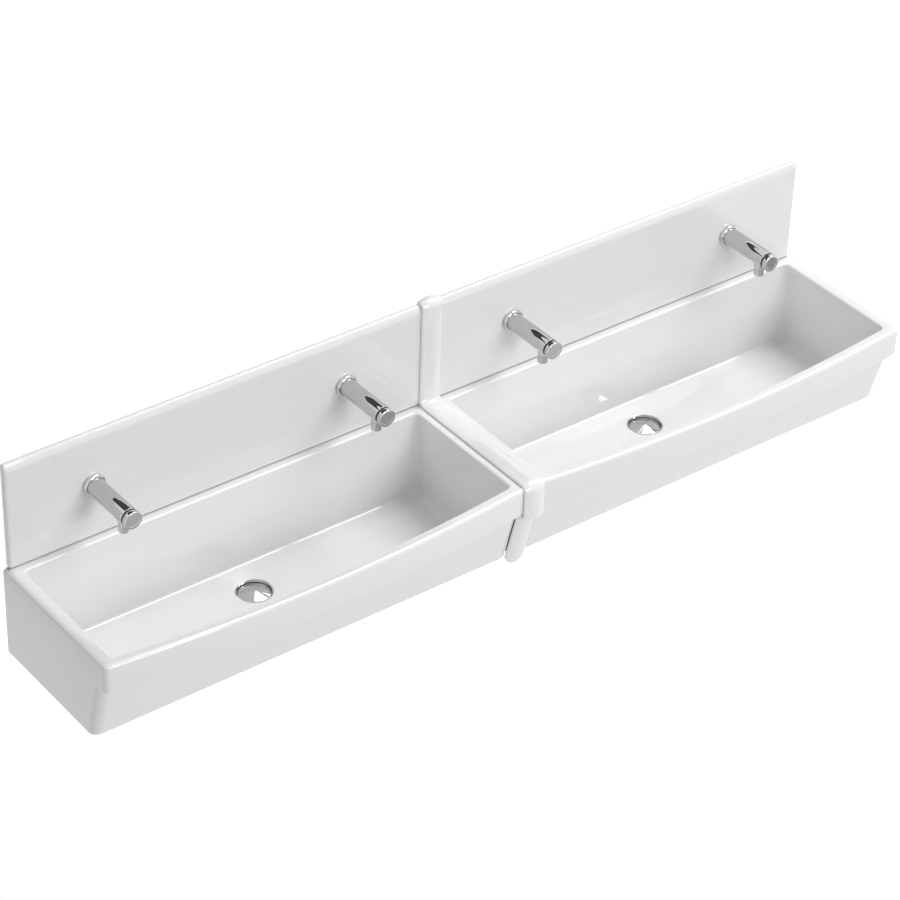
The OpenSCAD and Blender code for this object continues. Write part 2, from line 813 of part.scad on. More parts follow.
module waste_nut(x) {
  z = seat_z - lock_washer_t - lock_nut_t;
  color(yellow_metal)
  on_waste(x) difference() {
    translate([0, 0, z]) cylinder(r = lock_nut_r, h = lock_nut_t, $fn = 8);
    along(waste_neck_r + thread_gap, z - 1, seat_z);
  }
}

// ---------- fixings ----------

stud_tip = 8;
stud_point_r = 1;
sleeve_bore_r = stud_thread_r + rest_gap;
flange_r = 13;
flange_t = 2;
steel_washer_r = 11;
steel_washer_t = 1.6;
stud_nut_t = 6.5;
stud_nut_af = 13;
stud_spare = 3.5;
stack_y = -(stud_wall_t + flange_t + steel_washer_t);
clip_screw_r = 2.2;
clip_screw_l = 35;
clip_head_r = 4.5;
clip_head_t = 2.5;
clip_screw_drop = 20;

module stud_set() {
  color(zinc)
  for (x = stud_xs) translate([x, 0, 0]) {
    across(stud_r, 0, stud_l - stud_tip);
    translate([0, stud_l - stud_tip, 0]) rotate([-90, 0, 0])
      cylinder(r1 = stud_r, r2 = stud_point_r, h = stud_tip, $fn = round_fn);
    across(stud_thread_r, stack_y - stud_nut_t - stud_spare, 1);
  }
}

module stud_sleeves() {
  color(cream)
  for (x = stud_xs) translate([x, 0, 0]) difference() {
    union() {
      across(sleeve_r, -stud_wall_t - 1, -bed_gap);
      across(flange_r, -stud_wall_t - flange_t, -stud_wall_t);
    }
    across(sleeve_bore_r, -stud_wall_t - flange_t - 1, 1);
  }
}

module stud_washers() {
  color(zinc)
  for (x = stud_xs) translate([x, 0, 0]) difference() {
    across(steel_washer_r, stack_y, stack_y + steel_washer_t);
    across(sleeve_bore_r, stack_y - 1, stack_y + steel_washer_t + 1);
  }
}

module stud_nuts() {
  color(zinc)
  for (x = stud_xs) translate([x, 0, 0]) difference() {
    translate([0, stack_y - stud_nut_t, 0]) rotate([-90, 0, 0])
      cylinder(r = stud_nut_af / 2 / cos(30), h = stud_nut_t, $fn = 6);
    across(stud_thread_r + thread_gap, stack_y - stud_nut_t - 1, stack_y + 1);
  }
}

module splash_clips() {
  color(zinc)
  for (x = clip_xs) translate([x, 0, 0]) difference() {
    union() {
      translate([-clip_w / 2, -clip_t, clip_z - clip_drop]) cube([clip_w, clip_t, clip_drop]);
      translate([-clip_w / 2, -clip_lip, clip_z - clip_t]) cube([clip_w, clip_lip, clip_t]);
    }
    translate([0, 0, clip_z - clip_screw_drop]) across(clip_screw_r + rest_gap, -clip_lip, 1);
  }
}

module clip_screws() {
  color(zinc)
  for (x = clip_xs) translate([x, 0, clip_z - clip_screw_drop]) {
    across(clip_head_r, -clip_t - clip_head_t, -clip_t);
    across(clip_screw_r, -clip_t - 1, clip_screw_l);
  }
}

basin(-basin_x);  // left_basin
basin(basin_x);  // right_basin
splashback(-basin_x);  // left_splashback
splashback(basin_x);  // right_splashback
joint_cover();
joint_foam();
sealant_bed(-basin_x);  // left_sealant_bed
sealant_bed(basin_x);  // right_sealant_bed
tap_body(0);  // tap_1_body
tap_rosette(0);  // tap_1_rosette
tap_washer(0);  // tap_1_washer
tap_inlet(0);  // tap_1_inlet
tap_cartridge(0);  // tap_1_cartridge
tap_guide(0);  // tap_1_guide
tap_spring(0);  // tap_1_spring
tap_button(0);  // tap_1_button
tap_strainer(0);  // tap_1_strainer
tap_body(1);  // tap_2_body
tap_rosette(1);  // tap_2_rosette
tap_washer(1);  // tap_2_washer
tap_inlet(1);  // tap_2_inlet
tap_cartridge(1);  // tap_2_cartridge
tap_guide(1);  // tap_2_guide
tap_spring(1);  // tap_2_spring
tap_button(1);  // tap_2_button
tap_strainer(1);  // tap_2_strainer
tap_body(2);  // tap_3_body
tap_rosette(2);  // tap_3_rosette
tap_washer(2);  // tap_3_washer
tap_inlet(2);  // tap_3_inlet
tap_cartridge(2);  // tap_3_cartridge
tap_guide(2);  // tap_3_guide
tap_spring(2);  // tap_3_spring
tap_button(2);  // tap_3_button
tap_strainer(2);  // tap_3_strainer
tap_body(3);  // tap_4_body
tap_rosette(3);  // tap_4_rosette
tap_washer(3);  // tap_4_washer
tap_inlet(3);  // tap_4_inlet
tap_cartridge(3);  // tap_4_cartridge
tap_guide(3);  // tap_4_guide
tap_spring(3);  // tap_4_spring
tap_button(3);  // tap_4_button
tap_strainer(3);  // tap_4_strainer
waste_cup(-basin_x);  // left_waste_cup
waste_dome(-basin_x);  // left_waste_dome
waste_gasket(-basin_x);  // left_waste_gasket
waste_washer(-basin_x);  // left_waste_washer
waste_nut(-basin_x);  // left_waste_nut
waste_cup(basin_x);  // right_waste_cup
waste_dome(basin_x);  // right_waste_dome
waste_gasket(basin_x);  // right_waste_gasket
waste_washer(basin_x);  // right_waste_washer
waste_nut(basin_x);  // right_waste_nut
stud_set();
stud_sleeves();
stud_washers();
stud_nuts();
splash_clips();
clip_screws();
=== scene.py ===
"""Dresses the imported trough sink: glazed basins and panels, chromed taps and wastes, a studio."""

import json
import math

import bmesh
import bpy
from bpy.props import FloatProperty, FloatVectorProperty, PointerProperty
from mathutils import Euler, Matrix, Vector


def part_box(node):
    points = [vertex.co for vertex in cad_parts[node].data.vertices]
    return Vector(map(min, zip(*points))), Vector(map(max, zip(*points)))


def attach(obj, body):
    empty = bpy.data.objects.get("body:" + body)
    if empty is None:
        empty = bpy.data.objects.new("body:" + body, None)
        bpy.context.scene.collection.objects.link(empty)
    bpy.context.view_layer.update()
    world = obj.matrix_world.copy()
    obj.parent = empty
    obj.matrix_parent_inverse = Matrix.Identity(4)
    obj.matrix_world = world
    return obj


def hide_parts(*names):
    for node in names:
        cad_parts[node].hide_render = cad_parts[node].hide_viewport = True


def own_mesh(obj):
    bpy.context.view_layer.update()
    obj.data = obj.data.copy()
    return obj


bl_info = {
    "name": "Trough sink",
    "version": (1, 0, 0),
    "blender": (4, 5, 0),
    "location": "View3D > Sidebar > Sink",
    "description": "Builds the pieces, finishes and studio of a wall-hung double trough sink",
    "category": "Object",
}

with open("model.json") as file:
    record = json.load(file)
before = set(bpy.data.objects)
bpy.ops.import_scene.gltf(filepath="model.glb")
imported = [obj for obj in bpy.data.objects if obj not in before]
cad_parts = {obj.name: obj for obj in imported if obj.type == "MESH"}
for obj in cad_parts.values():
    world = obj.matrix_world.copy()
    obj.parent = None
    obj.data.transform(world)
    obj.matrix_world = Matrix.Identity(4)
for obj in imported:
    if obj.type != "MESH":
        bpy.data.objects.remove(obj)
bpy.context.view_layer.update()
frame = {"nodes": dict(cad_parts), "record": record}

SIDES = ("left", "right")
TAPS = (1, 2, 3, 4)
QUARTER = math.pi / 2


def middle(node, axis):
    """Middle of a frame node along an axis, in metres."""
    low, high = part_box(node)
    return (low[axis] + high[axis]) / 2


def span(node, axis):
    """Size of a frame node along an axis, in metres."""
    low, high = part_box(node)
    return high[axis] - low[axis]


RIM_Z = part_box("left_basin")[1].z


# ---------- sizes and colours ----------


def number(name, description, default, kind=FloatProperty, **more):
    """A number property."""
    return kind(name=name, description=description, default=default, **more)


def length(name, description, default):
    """A length property in metres."""
    return number(name, description, default, unit="LENGTH", precision=4)


def degrees(name, description, default):
    """An angle property, with its default in degrees."""
    return number(name, description, math.radians(default), subtype="ANGLE")


def colour(name, description, default):
    """A colour property."""
    return number(
        name, description, default, FloatVectorProperty, subtype="COLOR", min=0, max=1
    )


class SinkBasinSizes(bpy.types.PropertyGroup):
    """Sizes of the two basins."""

    long: length("Length", "Length of one basin along the wall", span("left_basin", 0))
    deep: length("Depth", "Depth of a basin at its ends", 0.433)
    bow: length("Bow", "How much further the apron stands out in the middle", 0.034)
    apron: length("Apron", "Height of the apron along the front", 0.077)
    high: length("Height", "Height of a basin from rim to underside", 0.248)
    body_top: length("Body depth, top", "Depth of the body below the apron", 0.414)
    body_low: length("Body depth, foot", "Depth of the body at the underside", 0.370)
    rim_round: length("Rim rounding", "Radius along the outer edge of the rim", 0.0085)
    end_ease: number("End easing", "How many times wider the rim's rounding is at its ends", 2.0)
    mouth_round: length("Mouth rounding", "Radius along the inner edge of the rim", 0.005)
    floor_round: length("Floor rounding", "Radius where the floor meets the front wall", 0.026)
    waste_out: length(
        "Waste distance", "Distance of the waste from the wall", -middle("left_waste_cup", 1)
    )
    glaze: colour("Glaze", "Colour of the white glaze", (0.86, 0.86, 0.86))


class SinkPanelSizes(bpy.types.PropertyGroup):
    """Sizes of the splashback panels and the joint cover."""

    thick: length("Thickness", "Thickness of a panel", span("left_splashback", 1))
    edge_round: length("Edge rounding", "How deep the soft roll round a panel's face is", 0.009)
    roll_high: length("Roll height", "How far down its face a panel's top is rolled", 0.022)
    end_roll: length("End roll", "How far in from its ends a panel is rolled", 0.007)
    top_corner: length("Top corners", "Radius of a panel's upper corners from the front", 0.007)
    low_corner: length("Lower corners", "Radius of a panel's lower corners from the front", 0.006)
    cover_width: length("Cover width", "Width of the joint cover", span("joint_cover", 0))
    cover_crown: length("Cover crown", "Height of the crown of the joint cover", 0.011)
    cover_edge: length("Cover edge", "Height of the cover's straight sides", 0.0018)
    cover_shoulder: length("Cover shoulder", "Radius between the cover's sides and crown", 0.0045)


class SinkTapSizes(bpy.types.PropertyGroup):
    """Sizes of the taps."""

    radius: length("Barrel radius", "Radius of a tap's barrel", 0.023)
    reach: length("Reach", "Reach of a tap from the panel to the tip of its button", 0.171)
    drop: length("Drop", "Drop of the outlet below the axis of the tap", 0.054)
    outlet: length("Outlet radius", "Radius of the outlet", 0.013)
    rosette: length("Rosette radius", "Radius of the wall rosette", 0.029)
    chrome: colour("Chrome", "Colour of the chrome plate", (0.58, 0.585, 0.59))


class SinkWasteSizes(bpy.types.PropertyGroup):
    """Sizes of the wastes."""

    cup: length("Cup radius", "Radius of the waste cup", 0.044)
    dome: length("Dome radius", "Radius of the lift-out dome", 0.040)
    sag: length("Dome sag", "Sag of the dome from its middle to its edge", 0.0088)


class SinkStageSettings(bpy.types.PropertyGroup):
    """Camera and backdrop."""

    bearing: degrees("Bearing", "Angle of the camera round the sink", -38.09)
    height: degrees("Height angle", "Angle of the camera above the sink", 35.58)
    roll: degrees("Roll", "Turn of the camera about its line of sight", 2.01)
    distance: length("Distance", "Distance of the camera from the sink", 7.8651)
    lens: number("Lens", "Focal length in millimetres", 128.93)
    floor_level: length("Floor level", "Height of the floor below the fixing studs", -0.80)
    backdrop: colour("Backdrop", "Colour of the floor and backdrop", (0.60, 0.60, 0.60))


# ---------- modelling helpers ----------


def rest():
    """Leaves edit mode and selects nothing."""
    if bpy.context.object and bpy.context.object.mode != "OBJECT":
        bpy.ops.object.mode_set(mode="OBJECT")
    bpy.ops.object.select_all(action="DESELECT")


def begin(name, add, **how):
    """Adds a primitive, names it and opens it for editing with all of its edges selected."""
    rest()
    add(**how)
    piece = bpy.context.object
    piece.name = piece.data.name = name
    bpy.ops.object.mode_set(mode="EDIT")
    bpy.ops.mesh.select_mode(type="EDGE")
    bpy.ops.mesh.select_all(action="SELECT")
    return piece


def only(piece):
    """Makes a piece the active and only selected one."""
    rest()
    bpy.context.view_layer.objects.active = piece
    piece.select_set(True)


def clean(piece, angle=32):
    """Merges doubles, turns the faces outwards and shades the piece smooth up to an angle."""
    only(piece)
    bpy.ops.object.mode_set(mode="EDIT")
    bpy.ops.mesh.select_all(action="SELECT")
    bpy.ops.mesh.remove_doubles(threshold=1e-6)
    bpy.ops.mesh.normals_make_consistent()
    bpy.ops.object.mode_set(mode="OBJECT")
    bpy.ops.object.shade_smooth_by_angle(angle=math.radians(angle))
    return piece


def place(piece, at=(0, 0, 0), turn=(0, 0, 0)):
    """Turns and moves a piece, and leaves its place in its mesh."""
    only(piece)
    bpy.ops.object.transform_apply()
    piece.rotation_euler = turn
    piece.location = at
    bpy.ops.object.transform_apply()
    return piece


def copy_to(piece, name, shift):
    """Copies a piece with its own mesh and moves the copy."""
    only(piece)
    bpy.ops.object.duplicate()
    other = bpy.context.object
    other.name = other.data.name = name
    return place(other, shift)


def block(at, size):
    """A block to cut or join with."""
    rest()
    bpy.ops.mesh.primitive_cube_add(size=1, location=at, scale=size)
    return bpy.context.object


def rod(at, radius, long, sides=48):
    """A rod along y to cut with."""
    rest()
    bpy.ops.mesh.primitive_cylinder_add(
        vertices=sides, radius=radius, depth=long, location=at, rotation=(QUARTER, 0, 0)
    )
    return bpy.context.object


def combine(piece, tool, operation):
    """Applies a boolean of a piece and a tool, and removes the tool."""
    only(piece)
    step = piece.modifiers.new("combine", "BOOLEAN")
    step.operation = operation
    step.solver = "EXACT"
    step.object = tool
    bpy.ops.object.modifier_apply(modifier=step.name)
    bpy.data.objects.remove(tool, do_unlink=True)
    if not piece.data.polygons:
        raise RuntimeError(f"{operation.lower()} left nothing of {piece.name}")
    return piece


def cut(piece, tool):
    """Cuts a tool out of a piece."""
    return combine(piece, tool, "DIFFERENCE")


def join(piece, tool):
    """Joins a tool to a piece."""
    return combine(piece, tool, "UNION")


def soften(piece, width):
    """Rounds a piece's sharp edges with a bevel."""
    only(piece)
    bevel = piece.modifiers.new("soften", "BEVEL")
    bevel.width = width
    bevel.segments = 3
    bevel.limit_method = "ANGLE"
    bevel.angle_limit = math.radians(40)
    bpy.ops.object.modifier_apply(modifier=bevel.name)


def eased(corners, steps=5, closed=False):
    """Rounds a profile: each corner is (across, along) or (across, along, rounding)."""
    points, count = [], len(corners)
    for i, corner in enumerate(corners):
        p = Vector(corner[:2])
        if len(corner) < 3 or (not closed and i in (0, count - 1)):
            points.append(p)
            continue
        to_last = (Vector(corners[i - 1][:2]) - p).normalized()
        to_next = (Vector(corners[(i + 1) % count][:2]) - p).normalized()
        half = to_last.angle(to_next) / 2
        centre = p + (to_last + to_next).normalized() * corner[2] / math.sin(half)
        start = p + to_last * corner[2] / math.tan(half) - centre
        end = p + to_next * corner[2] / math.tan(half) - centre
        first = math.atan2(start.y, start.x)
        sweep = (math.atan2(end.y, end.x) - first + math.pi) % (2 * math.pi) - math.pi
        for k in range(steps + 1):
            angle = first + sweep * k / steps
            points.append(centre + Vector((math.cos(angle), math.sin(angle))) * corner[2])
    return points


def run(shift=(0, 0, 0)):
    """Draws the selected loop out along a straight line."""
    bpy.ops.mesh.extrude_edges_move(TRANSFORM_OT_translate={"value": shift})


def turned(name, profile, sides=96, closed=False):
    """Turns a profile of (radius, height) about local z, drawn out ring by ring from a circle."""
    radius, height = profile[0]
    piece = begin(
        name, bpy.ops.mesh.primitive_circle_add,
        vertices=sides, radius=radius, location=(0, 0, height),
    )
    if not closed:
        bpy.ops.mesh.edge_face_add()
    for next_radius, next_height in profile[1:] + (profile[:1] if closed else []):
        run((0, 0, next_height - height))
        ratio = next_radius / radius
        bpy.ops.transform.resize(value=(ratio, ratio, 1), center_override=(0, 0, next_height))
        radius, height = next_radius, next_height
    if not closed:
        bpy.ops.mesh.edge_face_add()
    bpy.ops.object.mode_set(mode="OBJECT")
    return place(piece)


def start_skin(name, ring, closed):
    """Starts a skin with a circle laid on its first ring, and fills it if the skin isn't closed."""
    piece = begin(name, bpy.ops.mesh.primitive_circle_add, vertices=len(ring), radius=1)
    shape = bmesh.from_edit_mesh(piece.data)
    mark = shape.verts.layers.int.new("round")
    for i, v in enumerate(shape.verts):
        v[mark] = i
    lay(piece, ring)
    if not closed:
        bpy.ops.mesh.edge_face_add()
    return piece


def lay(piece, ring):
    """Moves the selected loop onto a ring, point by point in the order round it."""
    shape = bmesh.from_edit_mesh(piece.data)
    mark = shape.verts.layers.int["round"]
    for v in shape.verts:
        if v.select:
            v.co = ring[v[mark]]
    bmesh.update_edit_mesh(piece.data)


def end_skin(piece, closed):
    """Fills the last ring if the skin isn't closed, drops the marks of its points and cleans it."""
    if not closed:
        bpy.ops.mesh.edge_face_add()
    bpy.ops.object.mode_set(mode="OBJECT")
    piece.data.attributes.remove(piece.data.attributes["round"])
    return clean(piece)


def draw_skin(name, rings, closed):
    """Draws a skin out through the rings, and joins the last to the first if it is closed."""
    piece = start_skin(name, rings[0], closed)
    for ring in rings[1:] + (rings[:1] if closed else []):
        run()
        lay(piece, ring)
    return end_skin(piece, closed)


# ---------- outlines of a basin ----------

BOW_STEPS = 40
CORNER_STEPS = 8
REAR_STEPS = 24
ROUND_STEPS = 8
REAR_SPREAD = math.radians(10)
HOLD = 0.0008


def arc(x, y, radius, start, end):
    """Points of an arc, angles in radians."""
    points = []
    for i in range(CORNER_STEPS + 1):
        angle = start + (end - start) * i / CORNER_STEPS
        points.append((x + radius * math.cos(angle), y + radius * math.sin(angle)))
    return points


def outline(half, back, deep, bow, front_corner, rear_corner, z):
    """Outline from above at height z: straight back and ends, bowed front, rounded corners."""

    def front(x):
        return -(deep + bow * (1 - (x / half) ** 2))

    front_x, rear_x, rear_y = half - front_corner, half - rear_corner, back - rear_corner
    turn = math.atan(2 * bow * front_x / half**2)
    x_end = front_x + front_corner * math.sin(turn)
    y_end = front(x_end) + front_corner * math.cos(turn)
    points = [(-half, y_end + HOLD)]
    points += arc(-front_x, y_end, front_corner, math.pi, 3 * QUARTER - turn)
    for i in range(1, BOW_STEPS):
        x = x_end * (2 * i / BOW_STEPS - 1)
        points.append((x, front(x)))
    points += arc(front_x, y_end, front_corner, 3 * QUARTER + turn, 4 * QUARTER)
    points += [(half, y_end + HOLD), (half, rear_y - HOLD)]
    points += arc(rear_x, rear_y, rear_corner, 0, QUARTER)
    for i in range(1, REAR_STEPS):
        angle = REAR_SPREAD + (math.pi - 2 * REAR_SPREAD) * i / REAR_STEPS
        points.append((rear_x * math.tan(REAR_SPREAD) / math.tan(angle), back))
    points += arc(-rear_x, rear_y, rear_corner, QUARTER, 2 * QUARTER)
    points.append((-half, rear_y - HOLD))
    return [Vector((x, y, z)) for x, y in points]


def rounding(radius, steps=ROUND_STEPS):
    """Steps of a quarter round, as (distance from the face, inset)."""
    angles = [QUARTER * i / steps for i in range(steps + 1)]
    return [(radius * (1 - math.cos(a)), radius * (1 - math.sin(a))) for a in angles]


def smooth_step(t):
    """Eases from 0 to 1."""
    t = min(max(t, 0), 1)
    return t * t * (3 - 2 * t)


def circle_like(ring, centre_y, radius, z):
    """Circle about the waste with one point towards each point of a ring."""
    points = []
    for p in ring:
        away = Vector((p.x, p.y - centre_y)).normalized() * radius
        points.append(Vector((away.x, centre_y + away.y, z)))
    return points


# ---------- finishes ----------


def feed(tree, socket, source):
    """Sets a socket to a value, or links another socket to it."""
    if isinstance(source, bpy.types.NodeSocket):
        tree.links.new(source, socket)
    else:
        socket.default_value = source


def calc(tree, operation, first, second):
    """Result of a math node on two values or sockets."""
    node = tree.nodes.new("ShaderNodeMath")
    node.operation = operation
    feed(tree, node.inputs[0], first)
    feed(tree, node.inputs[1], second)
    return node.outputs[0]


def remap(tree, value, low, high, to_low, to_high):
    """Maps a value from one range to another, clamped."""
    node = tree.nodes.new("ShaderNodeMapRange")
    labels = ("Value", "From Min", "From Max", "To Min", "To Max")
    for label, source in zip(labels, (value, low, high, to_low, to_high)):
        feed(tree, node.inputs[label], source)
    return node.outputs["Result"]


def noise(tree, scale, detail, rough=0.5):
    """Noise over the object's own coordinates."""
    coords = tree.nodes.new("ShaderNodeTexCoord").outputs["Object"]
    texture = tree.nodes.new("ShaderNodeTexNoise")
    labels = ("Vector", "Scale", "Detail", "Roughness")
    for label, source in zip(labels, (coords, scale, detail, rough)):
        feed(tree, texture.inputs[label], source)
    return texture.outputs["Fac"]


def shader_group(name, inputs, output):
    """Starts a shader node group of floats: its tree, what it is given and its result's socket."""
    group = bpy.data.node_groups.new(name, "ShaderNodeTree")
    for label, default in inputs:
        socket = group.interface.new_socket(label, in_out="INPUT", socket_type="NodeSocketFloat")
        socket.default_value = default
    group.interface.new_socket(output, in_out="OUTPUT", socket_type="NodeSocketFloat")
    given = group.nodes.new("NodeGroupInput").outputs
    return group, given, group.nodes.new("NodeGroupOutput").inputs[output]


def make_mottle():
    """Group: slow mottling of a colour, as a factor from 1 - Depth to 1."""
    group, given, result = shader_group("surface_mottle", [("Scale", 6), ("Depth", 0.03)], "Factor")
    patches = noise(group, given["Scale"], 3)
    low = calc(group, "SUBTRACT", 1, given["Depth"])
    feed(group, result, remap(group, patches, 0.3, 0.7, low, 1))
    return group


def make_smudge():
    """Group: patches where a polished surface is a little duller, as a roughness."""
    group, given, result = shader_group(
        "surface_smudge", [("Scale", 14), ("Clean", 0.05), ("Dull", 0.12)], "Roughness"
    )
    patches = noise(group, given["Scale"], 5, 0.6)
    feed(group, result, remap(group, patches, 0.42, 0.72, given["Clean"], given["Dull"]))
    return group


def make_relief():
    """Group: a slow and a fine relief added up, as a height."""
    group, given, result = shader_group(
        "surface_relief",
        [("Slow Scale", 9), ("Slow Depth", 1), ("Fine Scale", 160), ("Fine Depth", 0.1)],
        "Height",
    )
    slow, fine = [
        calc(group, "MULTIPLY", noise(group, given[f"{which} Scale"], 2), given[f"{which} Depth"])
        for which in ("Slow", "Fine")
    ]
    feed(group, result, calc(group, "ADD", slow, fine))
    return group


MAKERS = {
    "surface_mottle": make_mottle, "surface_smudge": make_smudge, "surface_relief": make_relief,
}
GROUPS = {}


def group_node(tree, name, *values):
    """Result of a shared group with its own values; the group is made when first asked for."""
    if name not in GROUPS:
        GROUPS[name] = MAKERS[name]()
    node = tree.nodes.new("ShaderNodeGroup")
    node.node_tree = GROUPS[name]
    for socket, value in zip(node.inputs, values):
        socket.default_value = value
    return node.outputs[0]


def finish_of(name, base, rough, relief, mottle=(6, 0.03), smudge_scale=14, plain=()):
    """A finish: mottled colour, smudged roughness and relief, and plain values on the shader.

    rough is (clean, dull) and mottle is (scale, depth).
    relief is (slow scale, slow depth, fine scale, fine depth, distance in metres).
    """
    material = bpy.data.materials.new(name)
    material.use_nodes = True
    tree = material.node_tree
    shader = tree.nodes["Principled BSDF"].inputs
    mix = tree.nodes.new("ShaderNodeMix")
    mix.data_type = "RGBA"
    feed(tree, mix.inputs["Factor"], group_node(tree, "surface_mottle", *mottle))
    feed(tree, mix.inputs["A"], tuple(c * 0.5 for c in base) + (1,))
    feed(tree, mix.inputs["B"], tuple(base) + (1,))
    feed(tree, shader["Base Color"], mix.outputs["Result"])
    feed(tree, shader["Roughness"], group_node(tree, "surface_smudge", smudge_scale, *rough))
    *heights, distance = relief
    bump = tree.nodes.new("ShaderNodeBump")
    bump.inputs["Distance"].default_value = distance
    feed(tree, bump.inputs["Height"], group_node(tree, "surface_relief", *heights))
    feed(tree, shader["Normal"], bump.outputs["Normal"])
    for label, value in plain:
        shader[label].default_value = value
    return material


METAL = (("Metallic", 1.0),)
GLAZED = (("Coat Weight", 0.6), ("Coat Roughness", 0.03))
STEEL_GRAIN = (80, 0.3, 2000, 0.4, 0.00003)


def finish_facts(scene):
    """Colour, roughness, relief, mottling, smudges and plain values for each material slot."""
    return {
        "glazed_fireclay": (
            scene.sink_basin.glaze, (0.05, 0.09), (9, 1, 150, 0.04, 0.0002), (5, 0.02), 5, GLAZED,
        ),
        # Painted shade: the white sealant is given a grey far below its own white, to stand for the
        # dark line of shade in the crease along the panels' foot
        "white_sealant": ((0.42, 0.42, 0.41), (0.35, 0.5), (30, 1, 400, 0.2, 0.0002)),
        "grey_foam": ((0.10, 0.10, 0.105), (0.85, 0.95), (60, 0.3, 900, 1, 0.0006), (40, 0.2)),
        "chrome": (
            scene.sink_tap.chrome, (0.02, 0.05), (40, 0.4, 900, 0.05, 0.00001), (30, 0.05), 45,
            METAL,
        ),
        "brass": (
            (0.70, 0.53, 0.25), (0.22, 0.36), (60, 0.5, 1500, 0.6, 0.00004), (40, 0.15), 60, METAL,
        ),
        "black_rubber": ((0.02, 0.02, 0.021), (0.55, 0.7), (50, 0.4, 1200, 0.5, 0.0001), (50, 0.2)),
        "black_plastic": (
            (0.018, 0.018, 0.02), (0.3, 0.42), (50, 0.3, 1500, 0.6, 0.00005), (50, 0.2),
        ),
        "spring_steel": ((0.52, 0.53, 0.54), (0.22, 0.3), STEEL_GRAIN, (60, 0.1), 60, METAL),
        "strainer_steel": ((0.5, 0.51, 0.52), (0.28, 0.4), STEEL_GRAIN, (60, 0.1), 60, METAL),
        "zinc_steel": (
            (0.60, 0.61, 0.62), (0.3, 0.45), (50, 0.4, 1200, 0.6, 0.00005), (45, 0.18), 50, METAL,
        ),
        "white_nylon": ((0.76, 0.75, 0.71), (0.4, 0.5), (50, 0.3, 1200, 0.4, 0.00006), (40, 0.05)),
    }


FINISHES = {}


def finish(slot):
    """The finish for a material slot of the record, made when it is first asked for."""
    if slot not in FINISHES:
        FINISHES[slot] = finish_of(slot, *finish_facts(bpy.context.scene)[slot])
    return FINISHES[slot]


def dress(piece, body, slot, node):
    """Gives a piece its finish and its body, and hides the frame node that it stands for."""
    piece.data.materials.clear()
    piece.data.materials.append(finish(slot))
    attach(piece, body)
    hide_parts(node)


def glaze_both(piece, part):
    """Puts a glazed copy of a piece modelled about x = 0 on each side, and drops the piece."""
    for side in SIDES:
        made = copy_to(piece, f"{side}_{part}_glazed", (middle(f"{side}_{part}", 0), 0, 0))
        dress(made, "sink", "glazed_fireclay", f"{side}_{part}")
    bpy.data.objects.remove(piece, do_unlink=True)


# ---------- basins ----------

APRON_CORNER, BODY_CORNER, INNER_CORNER, REAR_CORNER = 0.014, 0.026, 0.012, 0.002
APRON_FOOT, APRON_HOLLOW = 0.0055, 0.0025
LOW_ROUND, LOW_REAR_ROUND = 0.013, 0.004
# widths of the rim, and how much further in the walls stand at the floor
RIM_FRONT, RIM_END, RIM_REAR = 0.026, 0.034, 0.036
END_DRAFT, REAR_DRAFT = 0.006, 0.014
FRONT_WALL = 0.018
# the floor at the waste, and how much higher it is at its edge
FLOOR_THICK, FLOOR_FALL = 0.016, 0.006
REAR_FLOOR_ROUND = 0.008
LEAST_CORNER = 0.006
WALL_HEIGHTS = (0.10, 0.07, 0.045, 0.034)
BLEND_STEPS, FLOOR_STEPS, FUNNEL_STEPS = 12, 12, 7
# the waste's seat below the floor, and the recess for its cup above
SEAT_SPREAD, SEAT_RADIUS, SEAT_HIGH = 0.11, 0.057, 0.016
RECESS_RADIUS, RECESS_DEPTH = 0.045, 0.016
WASTE_HOLE = 0.0255
STUD_OUT, STUD_HOLE = 0.300, 0.0089
POCKET_AT, POCKET_SIZE = (-0.021, -0.068), (0.064, 0.018, 0.184)


def body_deep(size, depth):
    """Depth of the body from the wall, at a depth below the rim."""
    slope = (size.body_low - size.body_top) / (size.high - size.apron)
    return size.body_top + slope * (depth - size.apron)


def outside_rings(size):
    """Rings of a basin's skin from the rim out, down, and under to the hole for the waste."""
    under, foot = RIM_Z - size.high, RIM_Z - size.apron

    def outer(inset, deep, bow, front_corner, z, rear=0.0, end=1.0):
        half, rear_corner = size.long / 2 - inset * end, REAR_CORNER + inset * 0.5
        return outline(half, -rear, deep - inset, bow, front_corner - inset, rear_corner, z)

    rings = []
    for d, i in rounding(size.rim_round):
        rings.append(outer(i, size.deep, size.bow, APRON_CORNER, RIM_Z - d, end=size.end_ease))
    for d, i in reversed(rounding(APRON_FOOT, 5)):
        rings.append(outer(0, size.deep - i, size.bow, APRON_CORNER, foot + d))
    # a soft hollow where the body meets the underside of the apron
    for d, i in rounding(APRON_HOLLOW, 4):
        rings.append(outer(0, size.body_top + i, 0, BODY_CORNER, foot - 0.0005 - d))
    for d, i in reversed(rounding(LOW_ROUND)):
        deep, rear = body_deep(size, size.high - d), LOW_REAR_ROUND * i / LOW_ROUND
        rings.append(outer(i, deep, 0, BODY_CORNER, under + d, rear, end=0.5))
    last, seat = rings[-1], under - SEAT_HIGH
    for radius, z in (
        (SEAT_SPREAD, under), (SEAT_RADIUS + 0.008, under), (SEAT_RADIUS + 0.002, under - 0.002),
        (SEAT_RADIUS, under - 0.006), (SEAT_RADIUS, seat + 0.002), (SEAT_RADIUS - 0.002, seat),
        (WASTE_HOLE + 0.001, seat),
    ):
        rings.append(circle_like(last, -size.waste_out, radius, z))
    return rings


